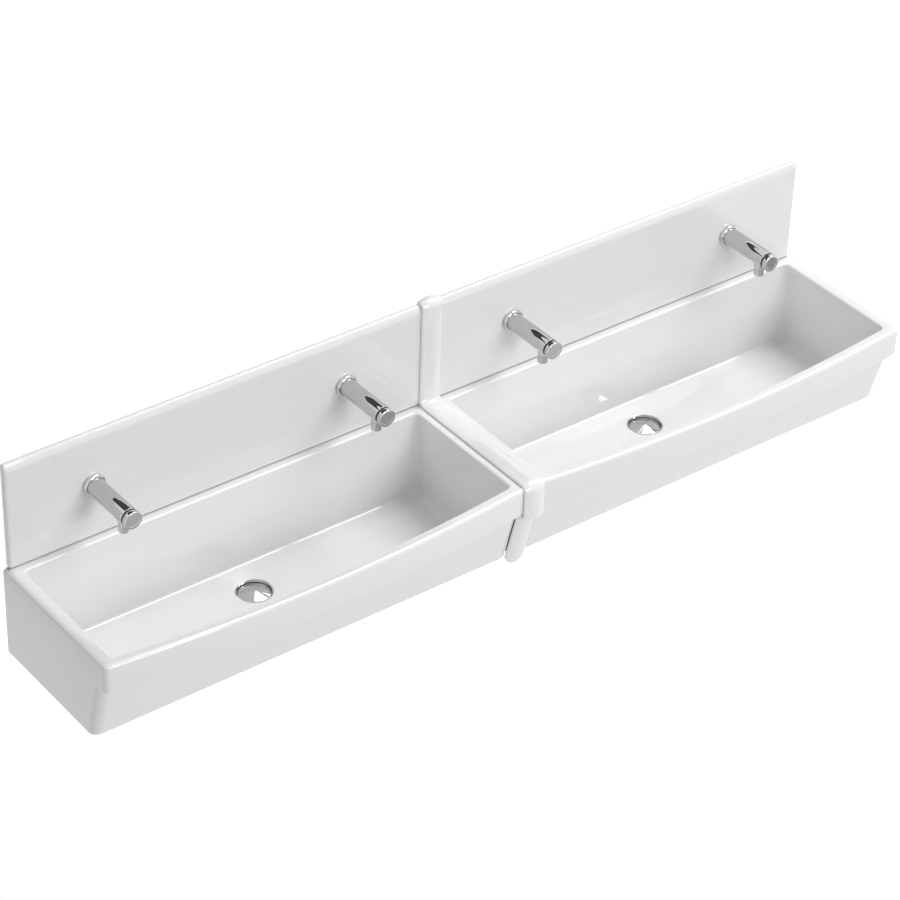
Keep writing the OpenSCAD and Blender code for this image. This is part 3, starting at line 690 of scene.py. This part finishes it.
def inside_rings(size):
    """Rings of a basin's skin from the rim in, down, and over the floor to the same hole."""
    floor_z = RIM_Z - size.high + FLOOR_THICK
    edge_depth = size.high - FLOOR_THICK - FLOOR_FALL
    mouth, blend = size.mouth_round, size.apron - 2 * size.mouth_round

    def inner(depth, front, rear, deep, bow, front_corner, rear_corner):
        down = depth / edge_depth
        half, back = size.long / 2 - RIM_END - END_DRAFT * down, -(RIM_REAR + REAR_DRAFT * down)
        return outline(
            half - front, back - rear, deep - front, bow, front_corner, rear_corner, RIM_Z - depth
        )

    def upper(depth, out):
        share = smooth_step((depth - mouth) / blend)
        low_deep = body_deep(size, size.apron) - FRONT_WALL
        deep = (size.deep - RIM_FRONT) * (1 - share) + low_deep * share
        corner = INNER_CORNER + out
        return inner(depth, -out, -out, deep, size.bow * (1 - share), corner, corner)

    def lower(height):
        def inset(radius):
            if height >= radius:
                return 0
            return radius - math.sqrt(radius**2 - (radius - height) ** 2)

        depth, front, rear = edge_depth - height, inset(size.floor_round), inset(REAR_FLOOR_ROUND)
        front_corner = max(LEAST_CORNER, INNER_CORNER - front / 2)
        rear_corner = max(LEAST_CORNER, INNER_CORNER - rear)
        deep = body_deep(size, depth) - FRONT_WALL
        return inner(depth, front, rear, deep, 0, front_corner, rear_corner)

    rings = [upper(d, i) for d, i in rounding(mouth, 6)]
    rings += [upper(mouth + blend * k / BLEND_STEPS, 0) for k in range(1, BLEND_STEPS + 1)]
    rings += [lower(height) for height in WALL_HEIGHTS]
    for k in range(FLOOR_STEPS + 1):
        rings.append(lower(size.floor_round * (1 - math.cos(QUARTER * (1 - k / FLOOR_STEPS)))))
    floor_edge, waste_y = rings[-1], -size.waste_out
    mouth_ring = circle_like(floor_edge, waste_y, RECESS_RADIUS + 0.003, floor_z)
    for k in range(1, FUNNEL_STEPS):
        share = (k / FUNNEL_STEPS) ** 0.8
        rings.append([a.lerp(b, share) for a, b in zip(floor_edge, mouth_ring)])
    for radius, down in (
        (RECESS_RADIUS + 0.003, 0), (RECESS_RADIUS + 0.001, 0.0006), (RECESS_RADIUS, 0.002),
        (RECESS_RADIUS, RECESS_DEPTH), (WASTE_HOLE, RECESS_DEPTH),
    ):
        rings.append(circle_like(floor_edge, waste_y, radius, floor_z - down))
    return rings


class SINK_OT_basins(bpy.types.Operator):
    """Models one basin, cuts its stud pockets and holes, and copies it to both places"""

    bl_idname = "sink.basins"
    bl_label = "Basins"

    def execute(self, context):
        size = context.scene.sink_basin
        basin = draw_skin("basin", outside_rings(size) + inside_rings(size)[::-1], closed=True)
        for x in (-STUD_OUT, STUD_OUT):
            cut(basin, block((x, *POCKET_AT), POCKET_SIZE))
            cut(basin, rod((x, -0.006, 0), STUD_HOLE, 0.02))
        glaze_both(clean(basin), "basin")
        return {"FINISHED"}


# ---------- panels and joint cover ----------

FIT = 0.0005
NOTCHES, NOTCH_WIDE, NOTCH_DEEP = (-0.470, 0.470), 0.046, 0.022
TAP_HOLE = 0.012
BACK_ROUND = 0.001
PANEL_STEPS = 12

SEAM = 0.030
# the cover's rounds over the panel, into the rim and over the rim's own round
TOP_ROUND, INNER_ROUND, RIM_ROUND_MORE = 0.0085, 0.010, 0.0055
# how far below the rim the cap over the apron ends, and where the tail's round end is
CAP_DROP, CAP_CORNER = 0.089, 0.009
TAIL_CENTRE = 0.017
UNDERCUT = 0.0010
SHOULDER_STEPS, CROWN_STEPS, BEND_STEPS = 8, 24, 10
TOOL_Y, TOOL_LONG = -0.43, 0.1


def panel_outline(half, low, high, corner, low_corner, y):
    """Outline of a panel seen from the front, at depth y, with all its corners rounded."""
    points = []
    for side, centre_z, radius, start in (
        (1, high - corner, corner, 0), (-1, high - corner, corner, 1),
        (-1, low + low_corner, low_corner, 2), (1, low + low_corner, low_corner, 3),
    ):
        centre_x, begins = side * (half - radius), start * QUARTER
        for x, z in arc(centre_x, centre_z, radius, begins, begins + QUARTER):
            points.append(Vector((x, y, z)))
    return points


def model_panel(size, half, low, high):
    """Panel drawn out from its back to its face, rolled over at the top, the ends and the foot."""
    foot = size.low_corner

    def ring(y, top, end, bottom):
        corner = max(size.top_corner - end / 2, 0.002)
        low_corner = max(foot - bottom / 2, 0.001)
        return panel_outline(half - end, low + bottom, high - top, corner, low_corner, y)

    rings = []
    for y, inset in ((0, BACK_ROUND), (-BACK_ROUND * 0.3, BACK_ROUND * 0.3), (-BACK_ROUND, 0)):
        rings.append(ring(y, inset, inset, inset))
    for forward, inset in reversed(rounding(1, PANEL_STEPS)):
        y = -size.thick + size.edge_round * forward
        rings.append(ring(y, size.roll_high * inset, size.end_roll * inset, foot * inset))
    rings.append(ring(-size.thick, size.roll_high + 0.001, size.end_roll + 0.001, foot + 0.001))
    return draw_skin("panel", rings, closed=False)


class SINK_OT_panels(bpy.types.Operator):
    """Models one splashback panel with its holes and notches, and copies it to both places"""

    bl_idname = "sink.panels"
    bl_label = "Splashback panels"

    def execute(self, context):
        low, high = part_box("left_splashback")
        panel = model_panel(context.scene.sink_panel, (high.x - low.x) / 2, low.z, high.z)
        for tap in TAPS[:2]:
            x = middle(f"tap_{tap}_inlet", 0) - middle("left_splashback", 0)
            cut(panel, rod((x, 0, middle(f"tap_{tap}_inlet", 2)), TAP_HOLE, 0.06))
        notch_z, notch_high = middle("splash_clips", 2) - 0.0014, span("splash_clips", 2) + 0.0034
        for x in NOTCHES:
            cut(panel, block((x, 0, notch_z), (NOTCH_WIDE, NOTCH_DEEP, notch_high)))
        glaze_both(clean(panel), "splashback")
        return {"FINISHED"}


def crowned_section(name, size, at, turn):
    """Opens a piece as the cover's crowned section: width along x, crown along local +y."""
    half, shoulder = size.cover_width / 2, size.cover_shoulder
    if not UNDERCUT < size.cover_edge < size.cover_crown - shoulder:
        raise ValueError("the cover's undercut, edge and shoulder leave no room for its crown")
    flat, rise = half - shoulder, size.cover_crown - size.cover_edge
    radius = (flat**2 + rise**2 - shoulder**2) / (2 * (rise - shoulder))
    lean = math.asin(flat / (radius - shoulder))
    side = [(half - UNDERCUT, 0), (half, UNDERCUT)]
    for i in range(SHOULDER_STEPS + 1):
        angle = (QUARTER - lean) * i / SHOULDER_STEPS
        x, y = flat + shoulder * math.cos(angle), size.cover_edge + shoulder * math.sin(angle)
        side.append((x, y))
    points = list(side)
    for i in range(1, CROWN_STEPS):
        angle = lean * (1 - 2 * i / CROWN_STEPS)
        y = size.cover_crown - radius + radius * math.cos(angle)
        points.append((radius * math.sin(angle), y))
    points += [(-x, y) for x, y in reversed(side)]
    section = Matrix.Translation(at) @ Euler(turn).to_matrix().to_4x4()
    return start_skin(name, [section @ Vector((x, y, 0)) for x, y in points], closed=False)


def bend(angle, y, z):
    """Draws the selected loop round a corner about the x axis through y and z."""
    piece = bpy.context.object
    turn = Matrix.Rotation(angle / BEND_STEPS, 4, "X")
    turn = Matrix.Translation((0, y, z)) @ turn @ Matrix.Translation((0, -y, -z))
    for _ in range(BEND_STEPS):
        run()
        shape = bmesh.from_edit_mesh(piece.data)
        bmesh.ops.transform(shape, matrix=turn, verts=[v for v in shape.verts if v.select])
        bmesh.update_edit_mesh(piece.data)


def corner_tool(x, z, side, radius):
    """Tool that rounds a lower corner of the cover's cap, about x and z."""
    tool = block((x + side * 0.02, TOOL_Y, z - 0.02), (0.04, 0.06, 0.04))
    return cut(tool, rod((x, TOOL_Y, z), radius, TOOL_LONG, 64))


def model_tail(size, basin, mid_z, step_z):
    """Round-ended tail of the cover, down the front of the bodies from the aprons' underside."""
    lean, body_high = basin.body_top - basin.body_low, basin.high - basin.apron
    slope = math.atan(lean / body_high)
    drawn = (step_z - mid_z) / math.cos(slope)
    tail = crowned_section("tail", size, (0, 0, drawn), (0, 0, math.pi))
    run((0, 0, -drawn - size.cover_width * 0.6))
    end_skin(tail, closed=False)
    tool = block((0, 0, -0.03), (0.12, 0.06, 0.06))
    cut(tail, cut(tool, rod((0, 0, 0), size.cover_width / 2 + FIT, TOOL_LONG, 128)))
    deep = basin.body_top - lean * (RIM_Z - mid_z - basin.apron) / body_high
    return place(tail, (0, -deep - FIT / math.cos(slope), mid_z), (slope, 0, 0))


class SINK_OT_cover(bpy.types.Operator):
    """Sweeps the cover's section over the panel, the rim and the apron, and adds its tail"""

    bl_idname = "sink.cover"
    bl_label = "Joint cover"

    def execute(self, context):
        size, basin = context.scene.sink_panel, context.scene.sink_basin
        top_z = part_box("left_splashback")[1].z + FIT
        face_y = -(size.thick + FIT)
        rim_z = RIM_Z + FIT
        rim_round = basin.rim_round + RIM_ROUND_MORE
        inner = size.cover_crown + INNER_ROUND
        share = (size.cover_width - SEAM) / basin.long
        apron_y = -(basin.deep + basin.bow * (1 - (1 - share) ** 2) + FIT)
        front_y = apron_y + rim_round
        cap_z = RIM_Z - CAP_DROP

        cover = crowned_section("joint_cover_glazed", size, (0, 0, top_z), (QUARTER, 0, 0))
        run((0, face_y + TOP_ROUND, 0))
        bend(QUARTER, face_y + TOP_ROUND, top_z - TOP_ROUND)
        run((0, 0, rim_z + inner - (top_z - TOP_ROUND)))
        bend(-QUARTER, face_y - inner, rim_z + inner)
        run((0, front_y - (face_y - inner), 0))
        bend(QUARTER, front_y, rim_z - rim_round)
        run((0, 0, cap_z - (rim_z - rim_round)))
        end_skin(cover, closed=False)

        step_z = RIM_Z - basin.apron - 2 * FIT
        tail = model_tail(size, basin, RIM_Z - basin.high + TAIL_CENTRE, step_z)
        body_y = -basin.body_top - FIT
        join(cover, block(
            (0, (body_y + apron_y - 0.001) / 2, (cap_z + step_z) / 2),
            (size.cover_width, body_y - apron_y + 0.001, step_z - cap_z),
        ))
        for side in (-1, 1):
            x, z = side * (size.cover_width / 2 - CAP_CORNER), cap_z + CAP_CORNER
            cut(cover, corner_tool(x, z, side, CAP_CORNER + FIT))
        join(cover, tail)
        clean(cover, 30)
        soften(cover, 0.0012)
        dress(cover, "sink", "glazed_fireclay", "joint_cover")
        return {"FINISHED"}


# ---------- taps ----------

WASHER, LIP = 0.002, 0.0008
# how far behind the button's tip the barrel ends and the outlet stands
BARREL_SHORT, OUTLET_BACK = 0.018, 0.044
SOCKET, WATERWAY, CHAMBER = 0.01018, 0.0075, 0.019
OUTLET_BORE, STRAINER_BORE = 0.009, 0.0116
STEM, BUTTON_LONG, BUTTON_DISH = 0.004, 0.012, 0.0155
SPIGOT = 0.00998
INLET_WALL, THREAD_LONG = -0.0175, 0.020
SPRING_WIRE, SPRING_RADIUS, SPRING_TURNS = 0.0009, 0.0062, 6
SPRING_FOOT, SPRING_HEAD = 0.021, 0.0032


def thread(start, pitch, turns, shape):
    """Corners of a thread from a height on, turn by turn as (radius, share of the pitch)."""
    corners = []
    for k in range(turns):
        z = start + k * pitch
        corners += [(radius, z + share * pitch) for radius, share in shape]
    return corners


def nozzle_radius(size, down):
    """Radius of the outlet at a depth below the tap's axis."""
    wide, start, end = size.radius - 0.0025, 0.010, 0.036
    sweep = ((wide - size.outlet) ** 2 + (end - start) ** 2) / (2 * (wide - size.outlet))
    if down >= end:
        return size.outlet
    return min(size.outlet + sweep - math.sqrt(sweep**2 - (end - down) ** 2), size.radius - 0.0006)


def model_tap_body(size):
    """Barrel with its inlet socket, waterway and chamber, and the outlet below it."""
    end, drop = size.reach - BARREL_SHORT, size.drop
    # local z of the barrel points out from the panel, and local -y points down
    outlet_at, downwards = (0, 0, size.reach - OUTLET_BACK), (-QUARTER, 0, 0)
    barrel = [(CHAMBER, WASHER), (size.radius, WASHER, LIP), (size.radius, end, LIP), (0.0185, end)]
    body = clean(turned("tap_body", eased(barrel), 128))
    depths = [0.002, 0.006] + [0.010 + 0.0026 * k for k in range(11)] + [drop - 0.007]
    profile = [(nozzle_radius(size, depth), -depth) for depth in depths]
    mouth = [(size.outlet, 0.004 - drop), (size.outlet, -drop, 0.0012), (0.008, -drop)]
    nozzle = clean(turned("outlet", profile + eased(mouth)[1:-1]))
    join(body, place(nozzle, outlet_at, downwards))
    core = [
        (SOCKET, 0), (SOCKET, 0.018), (WATERWAY, 0.0185), (WATERWAY, 0.060),
        (CHAMBER, 0.0605), (CHAMBER, end + 0.01),
    ]
    cut(body, clean(turned("core", core)))
    bore = [
        (OUTLET_BORE, 0), (OUTLET_BORE, 0.010 - drop), (STRAINER_BORE, 0.0098 - drop),
        (STRAINER_BORE, 0.0004 - drop), (0.0124, -0.001 - drop),
    ]
    cut(body, place(clean(turned("bore", bore, 64)), outlet_at, downwards))
    return clean(body)


def model_rosette(size):
    """Wall rosette with a rounded rim, hollow at the back."""
    outer, inner, high, wall = size.rosette, size.radius + 0.0002, 0.012, 0.0025
    edge = 0.0004
    corners = [
        (outer - 0.0015, 0, edge), (outer, high / 2, 0.006), (outer, high, 0.005),
        (inner, high, edge), (inner, high - wall, edge),
        (outer - wall, high - wall, 0.002), (outer - wall, 0, edge),
    ]
    return clean(turned("rosette", eased(corners, 7, closed=True), 128, closed=True))


def model_button(size):
    """Push button with its hollow rim and stem."""
    end, back, neck = size.reach, size.reach - BUTTON_LONG, size.radius - 0.0022
    corners = [
        (STEM, 0.147), (STEM, end - 0.003, 0.001), (neck, end - 0.003, 0.0008),
        (neck, back, 0.0003), (size.radius, back, 0.0006), (size.radius, end - 0.0002, 0.0016),
        (BUTTON_DISH + 0.001, end - 0.0002, 0.0005), (BUTTON_DISH, end - 0.0006, 0.0005),
        (0.0001, end - 0.0006),
    ]
    return clean(turned("button", eased(corners), 128), 28)


def model_inlet():
    """Inlet tail: pipe thread into the wall, neck through the panel, spigot into the barrel."""
    bore, neck, wall = 0.007, 0.00948, INLET_WALL
    major, minor, pitch = 0.01048, 0.0097, 0.001814
    corners = [(bore, wall - THREAD_LONG), (minor, wall - THREAD_LONG)]
    corners += thread(
        wall - 0.0195, pitch, int((THREAD_LONG - 0.001) / pitch),
        ((minor, 0.15), (major, 0.45), (major, 0.55), (minor, 0.85)),
    )
    corners += [
        (minor, wall - 0.0006), (major, wall - 0.0004), (major, wall), (neck, wall), (neck, 0.002),
        (SPIGOT, 0.0024), (SPIGOT, 0.017), (bore, 0.017),
    ]
    return clean(turned("inlet", corners, closed=True))


def model_spring(size):
    """Return spring of the button, wound up round the stem from a ring of its wire."""
    low, high = size.reach - SPRING_FOOT + SPRING_WIRE, size.reach - SPRING_HEAD - SPRING_WIRE
    spring = begin(
        "spring", bpy.ops.mesh.primitive_circle_add, vertices=12, radius=SPRING_WIRE,
        location=(SPRING_RADIUS, 0, low), rotation=(QUARTER, 0, 0),
    )
    bpy.ops.object.mode_set(mode="OBJECT")
    place(spring)
    coil = spring.modifiers.new("coil", "SCREW")
    coil.screw_offset = (high - low) / SPRING_TURNS
    coil.iterations = SPRING_TURNS
    coil.steps = coil.render_steps = 32
    coil.use_merge_vertices = True
    bpy.ops.object.modifier_apply(modifier=coil.name)
    bpy.ops.object.mode_set(mode="EDIT")
    bpy.ops.mesh.select_all(action="SELECT")
    bpy.ops.mesh.fill_holes(sides=12)
    return clean(spring)


class SINK_OT_taps(bpy.types.Operator):
    """Models the parts of one tap, and copies them to the four places"""

    bl_idname = "sink.taps"
    bl_label = "Taps"

    def execute(self, context):
        size = context.scene.sink_tap
        face_y = -context.scene.sink_panel.thick
        for part, piece, slot in (
            ("body", model_tap_body(size), "chrome"),
            ("rosette", model_rosette(size), "chrome"),
            ("button", model_button(size), "chrome"),
            ("inlet", model_inlet(), "brass"),
            ("spring", model_spring(size), "spring_steel"),
        ):
            place(piece, turn=(QUARTER, 0, 0))
            for tap in TAPS:
                at = (middle(f"tap_{tap}_inlet", 0), face_y, middle(f"tap_{tap}_inlet", 2))
                made = copy_to(piece, f"tap_{tap}_{part}_{slot}", at)
                body = f"tap_{tap}_button" if part == "button" else "sink"
                dress(made, body, slot, f"tap_{tap}_{part}")
                if part == "spring":
                    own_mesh(made)
            bpy.data.objects.remove(piece, do_unlink=True)
        return {"FINISHED"}


# ---------- wastes ----------

CUP_DEPTH, CUP_WALL = 0.012, 0.002
TAIL_BORE, TAIL_NECK, TAIL_THREAD, TAIL_ROOT = 0.020, 0.0235, 0.0239, 0.0230
TAIL_LONG, NECK_LONG, TAIL_THREAD_LONG, TAIL_PITCH = 0.082, 0.047, 0.034, 0.002309
DOME_THICK, CROWN_SOFT = 0.0022, 0.006
DOME_STEM, DOME_STEM_BELOW = 0.005, 0.014
FIN_THICK, FIN_REACH, LOW_FIN_REACH = 0.003, 0.027, 0.0195


def model_cup(size, floor_z):
    """Waste cup with its lip, floor and threaded tail."""
    under, inside, neck_z = floor_z - CUP_DEPTH - CUP_WALL, floor_z - CUP_DEPTH, floor_z - NECK_LONG
    low, wall = floor_z - TAIL_LONG, size.cup - CUP_WALL
    corners = [
        (size.cup, floor_z, 0.0009), (size.cup, under, 0.001), (TAIL_NECK, under, 0.0005),
        (TAIL_NECK, neck_z), (TAIL_THREAD, neck_z),
    ]
    corners += thread(
        floor_z - NECK_LONG - 0.0005, -TAIL_PITCH, int(TAIL_THREAD_LONG / TAIL_PITCH),
        ((TAIL_THREAD, 0.1), (TAIL_ROOT, 0.45), (TAIL_ROOT, 0.6), (TAIL_THREAD, 0.95)),
    )
    corners += [
        (TAIL_THREAD, low, 0.0004), (TAIL_BORE, low, 0.0004), (TAIL_BORE, inside, 0.001),
        (wall, inside, 0.003), (wall, floor_z, 0.0009),
    ]
    return clean(turned("cup", eased(corners, closed=True), 128, closed=True))


def model_dome(size, floor_z):
    """Lift-out dome: crowned cap, stem, and fins that stand on the floor of the cup."""
    top, soft, edge = floor_z + 0.001, CROWN_SOFT, size.dome

    def crown(radius, below=0.0):
        fall = (math.hypot(radius, soft) - soft) / (math.hypot(edge, soft) - soft)
        return top - size.sag * fall - below

    rim, edge_z = edge - 0.0012, crown(edge) + 0.0004
    radii = [0.0004, 0.004] + [0.004 + (rim - 0.004) * k / 16 for k in range(1, 17)]
    profile = [(r, crown(r)) for r in radii]
    profile += [
        (edge - 0.0004, crown(edge - 0.0004)), (edge, edge_z - 0.0008),
        (edge - 0.0002, edge_z - 0.0016), (rim, edge_z - 0.002),
    ]
    profile += [(r, crown(r, DOME_THICK)) for r in reversed(radii[:-1])]
    dome = clean(turned("dome", profile, 160))
    foot, stem_top = floor_z - 0.0117, top - 0.0016
    tip = foot - DOME_STEM_BELOW
    stem = [(0.0006, tip), (DOME_STEM, tip, 0.0008), (DOME_STEM, stem_top), (0.0006, stem_top)]
    join(dome, clean(turned("stem", eased(stem, 4), 48)))
    for k in range(3):
        for reach, low, high in (
            (LOW_FIN_REACH, tip, foot + 0.001), (FIN_REACH, foot, crown(FIN_REACH, 0.0009)),
        ):
            fin = block((reach / 2, 0, (low + high) / 2), (reach, FIN_THICK, high - low))
            join(dome, place(fin, turn=(0, 0, 2 * math.pi * k / 3)))
    return clean(dome)


class SINK_OT_wastes(bpy.types.Operator):
    """Models one waste cup and its lift-out dome, and copies them to both basins"""

    bl_idname = "sink.wastes"
    bl_label = "Wastes"

    def execute(self, context):
        size = context.scene.sink_waste
        floor_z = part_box("left_waste_cup")[1].z
        for part, model in (("cup", model_cup), ("dome", model_dome)):
            piece = model(size, floor_z)
            for side in SIDES:
                at = (middle(f"{side}_waste_cup", 0), middle(f"{side}_waste_cup", 1), 0)
                made = copy_to(piece, f"{side}_waste_{part}_chrome", at)
                body = f"{side}_waste_dome" if part == "dome" else "sink"
                dress(made, body, "chrome", f"{side}_waste_{part}")
            bpy.data.objects.remove(piece, do_unlink=True)
        return {"FINISHED"}


# ---------- the rest of the frame ----------


class SINK_OT_fixings(bpy.types.Operator):
    """Gives every frame node that is still shown the finish of its material slot"""

    bl_idname = "sink.fixings"
    bl_label = "Fixings and seals"

    def execute(self, context):
        slots = {part["node"]: part["material_slot"] for part in frame["record"]["subparts"]}
        for name, node in frame["nodes"].items():
            if not node.hide_render:
                node.data.materials.clear()
                node.data.materials.append(finish(slots[name]))
                only(node)
                bpy.ops.object.shade_smooth_by_angle(angle=math.radians(30))
        return {"FINISHED"}


# ---------- stage ----------

FLOOR_SIZE = 40
MATT = 0.9
DARK = (0.12, 0.12, 0.12)
AIM = Vector((0, -0.013, 0.090))
AIM_RIGHT, AIM_UP = 0.05555, -0.11864


def lamp(name, at, aim, size, power):
    """A soft square lamp that points at a place."""
    rest()
    bpy.ops.object.light_add(type="AREA", location=at)
    light = bpy.context.object
    light.name = name
    light.data.shape = "SQUARE"
    light.data.size = size
    light.data.energy = power
    light.rotation_euler = (Vector(aim) - Vector(at)).to_track_quat("-Z", "Y").to_euler()


def board(name, paint, shade, size, at):
    """A matt board of the studio; gives the board and its material's nodes."""
    rest()
    bpy.ops.mesh.primitive_plane_add(size=size, location=at)
    piece = bpy.context.object
    piece.name = name
    material = bpy.data.materials.new(paint)
    material.use_nodes = True
    shader = material.node_tree.nodes["Principled BSDF"].inputs
    shader["Base Color"].default_value = tuple(shade) + (1,)
    shader["Roughness"].default_value = MATT
    piece.data.materials.append(material)
    return piece, material.node_tree


def card(name, at, aim, wide, high):
    """A dark card outside the view, for the chrome to mirror."""
    piece, _ = board(name, "studio_dark", DARK, 1, at)
    piece.scale = (wide, high, 1)
    piece.rotation_euler = (Vector(aim) - Vector(at)).to_track_quat("Z", "Y").to_euler()


def backdrop_light(tree, seen, lit):
    """Strength that is `seen` for camera, glossy and transmitted rays and `lit` for the rest."""
    rays = tree.nodes.new("ShaderNodeLightPath").outputs
    mirrored = calc(tree, "MAXIMUM", rays["Is Glossy Ray"], rays["Is Transmission Ray"])
    total = calc(tree, "MAXIMUM", rays["Is Camera Ray"], mirrored)
    return remap(tree, total, 0, 1, lit, seen)


class SINK_OT_stage(bpy.types.Operator):
    """Sets the floor, backdrop, lamps, dark card and camera"""

    bl_idname = "sink.stage"
    bl_label = "Studio"

    def execute(self, context):
        scene = context.scene
        stage = scene.sink_stage
        scene.view_settings.view_transform = "Standard"
        scene.world = bpy.data.worlds.new("studio_white")
        scene.world.use_nodes = True
        tree = scene.world.node_tree
        light = tree.nodes["Background"].inputs
        light["Color"].default_value = (1, 1, 1, 1)
        feed(tree, light["Strength"], backdrop_light(tree, 1.0, 0.40))

        at = (0, 0, stage.floor_level)
        floor, tree = board("studio_floor", "studio_floor", stage.backdrop, FLOOR_SIZE, at)
        shader = tree.nodes["Principled BSDF"].inputs
        shader["Specular IOR Level"].default_value = 0
        shader["Emission Color"].default_value = (1, 1, 1, 1)
        feed(tree, shader["Emission Strength"], backdrop_light(tree, 0.7, 0.0))

        lamp("top_lamp", (5.2, -1.6, 9.0), (0, -0.2, 0), 6.0, 665)
        lamp("front_lamp", (0.2, -6.4, 2.6), (0, 0, 0.1), 2.4, 124)
        card("rear_card", (0.0, 2.5, 3.2), (0, -0.2, 0.2), 4.4, 1.1)

        a, e, roll = stage.bearing, stage.height, stage.roll
        back = Vector((math.sin(a) * math.cos(e), -math.cos(a) * math.cos(e), math.sin(e)))
        right = Vector((0, 0, 1)).cross(back).normalized()
        up = back.cross(right)
        turned_right = right * math.cos(roll) + up * math.sin(roll)
        turned_up = up * math.cos(roll) - right * math.sin(roll)
        aim = turned_right * AIM_RIGHT + turned_up * AIM_UP + AIM
        bpy.ops.object.camera_add()
        camera = bpy.context.object
        camera.name = "camera"
        camera.data.lens = stage.lens
        camera.data.sensor_width = 36
        camera.data.clip_end = 60
        turn = Matrix((turned_right, turned_up, back)).transposed().to_4x4()
        camera.matrix_world = Matrix.Translation(aim + back * stage.distance) @ turn
        scene.camera = camera
        return {"FINISHED"}


class SINK_PT_panel(bpy.types.Panel):
    """Lists the settings and the steps that build the sink"""

    bl_idname = "SINK_PT_panel"
    bl_label = "Trough sink"
    bl_space_type = "VIEW_3D"
    bl_region_type = "UI"
    bl_category = "Sink"

    def draw(self, context):
        for name in SETTINGS:
            box = self.layout.box()
            group = getattr(context.scene, name)
            for key in group.bl_rna.properties.keys():
                if key not in ("rna_type", "name"):
                    box.prop(group, key)
        for step in STEPS:
            self.layout.operator(step.bl_idname)


SETTINGS = {
    "sink_basin": SinkBasinSizes,
    "sink_panel": SinkPanelSizes,
    "sink_tap": SinkTapSizes,
    "sink_waste": SinkWasteSizes,
    "sink_stage": SinkStageSettings,
}
STEPS = (
    SINK_OT_basins, SINK_OT_panels, SINK_OT_cover, SINK_OT_taps, SINK_OT_wastes,
    SINK_OT_fixings, SINK_OT_stage,
)
CLASSES = (*SETTINGS.values(), *STEPS, SINK_PT_panel)


def register():
    for kind in CLASSES:
        bpy.utils.register_class(kind)
    for name, group in SETTINGS.items():
        setattr(bpy.types.Scene, name, PointerProperty(type=group))


def unregister():
    for name in SETTINGS:
        delattr(bpy.types.Scene, name)
    for kind in reversed(CLASSES):
        bpy.utils.unregister_class(kind)


def main():
    """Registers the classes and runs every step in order."""
    register()
    for step in STEPS:
        group, operator = step.bl_idname.split(".")
        getattr(getattr(bpy.ops, group), operator)()
    rest()
    bpy.context.view_layer.update()


if __name__ == "__main__":
    main()
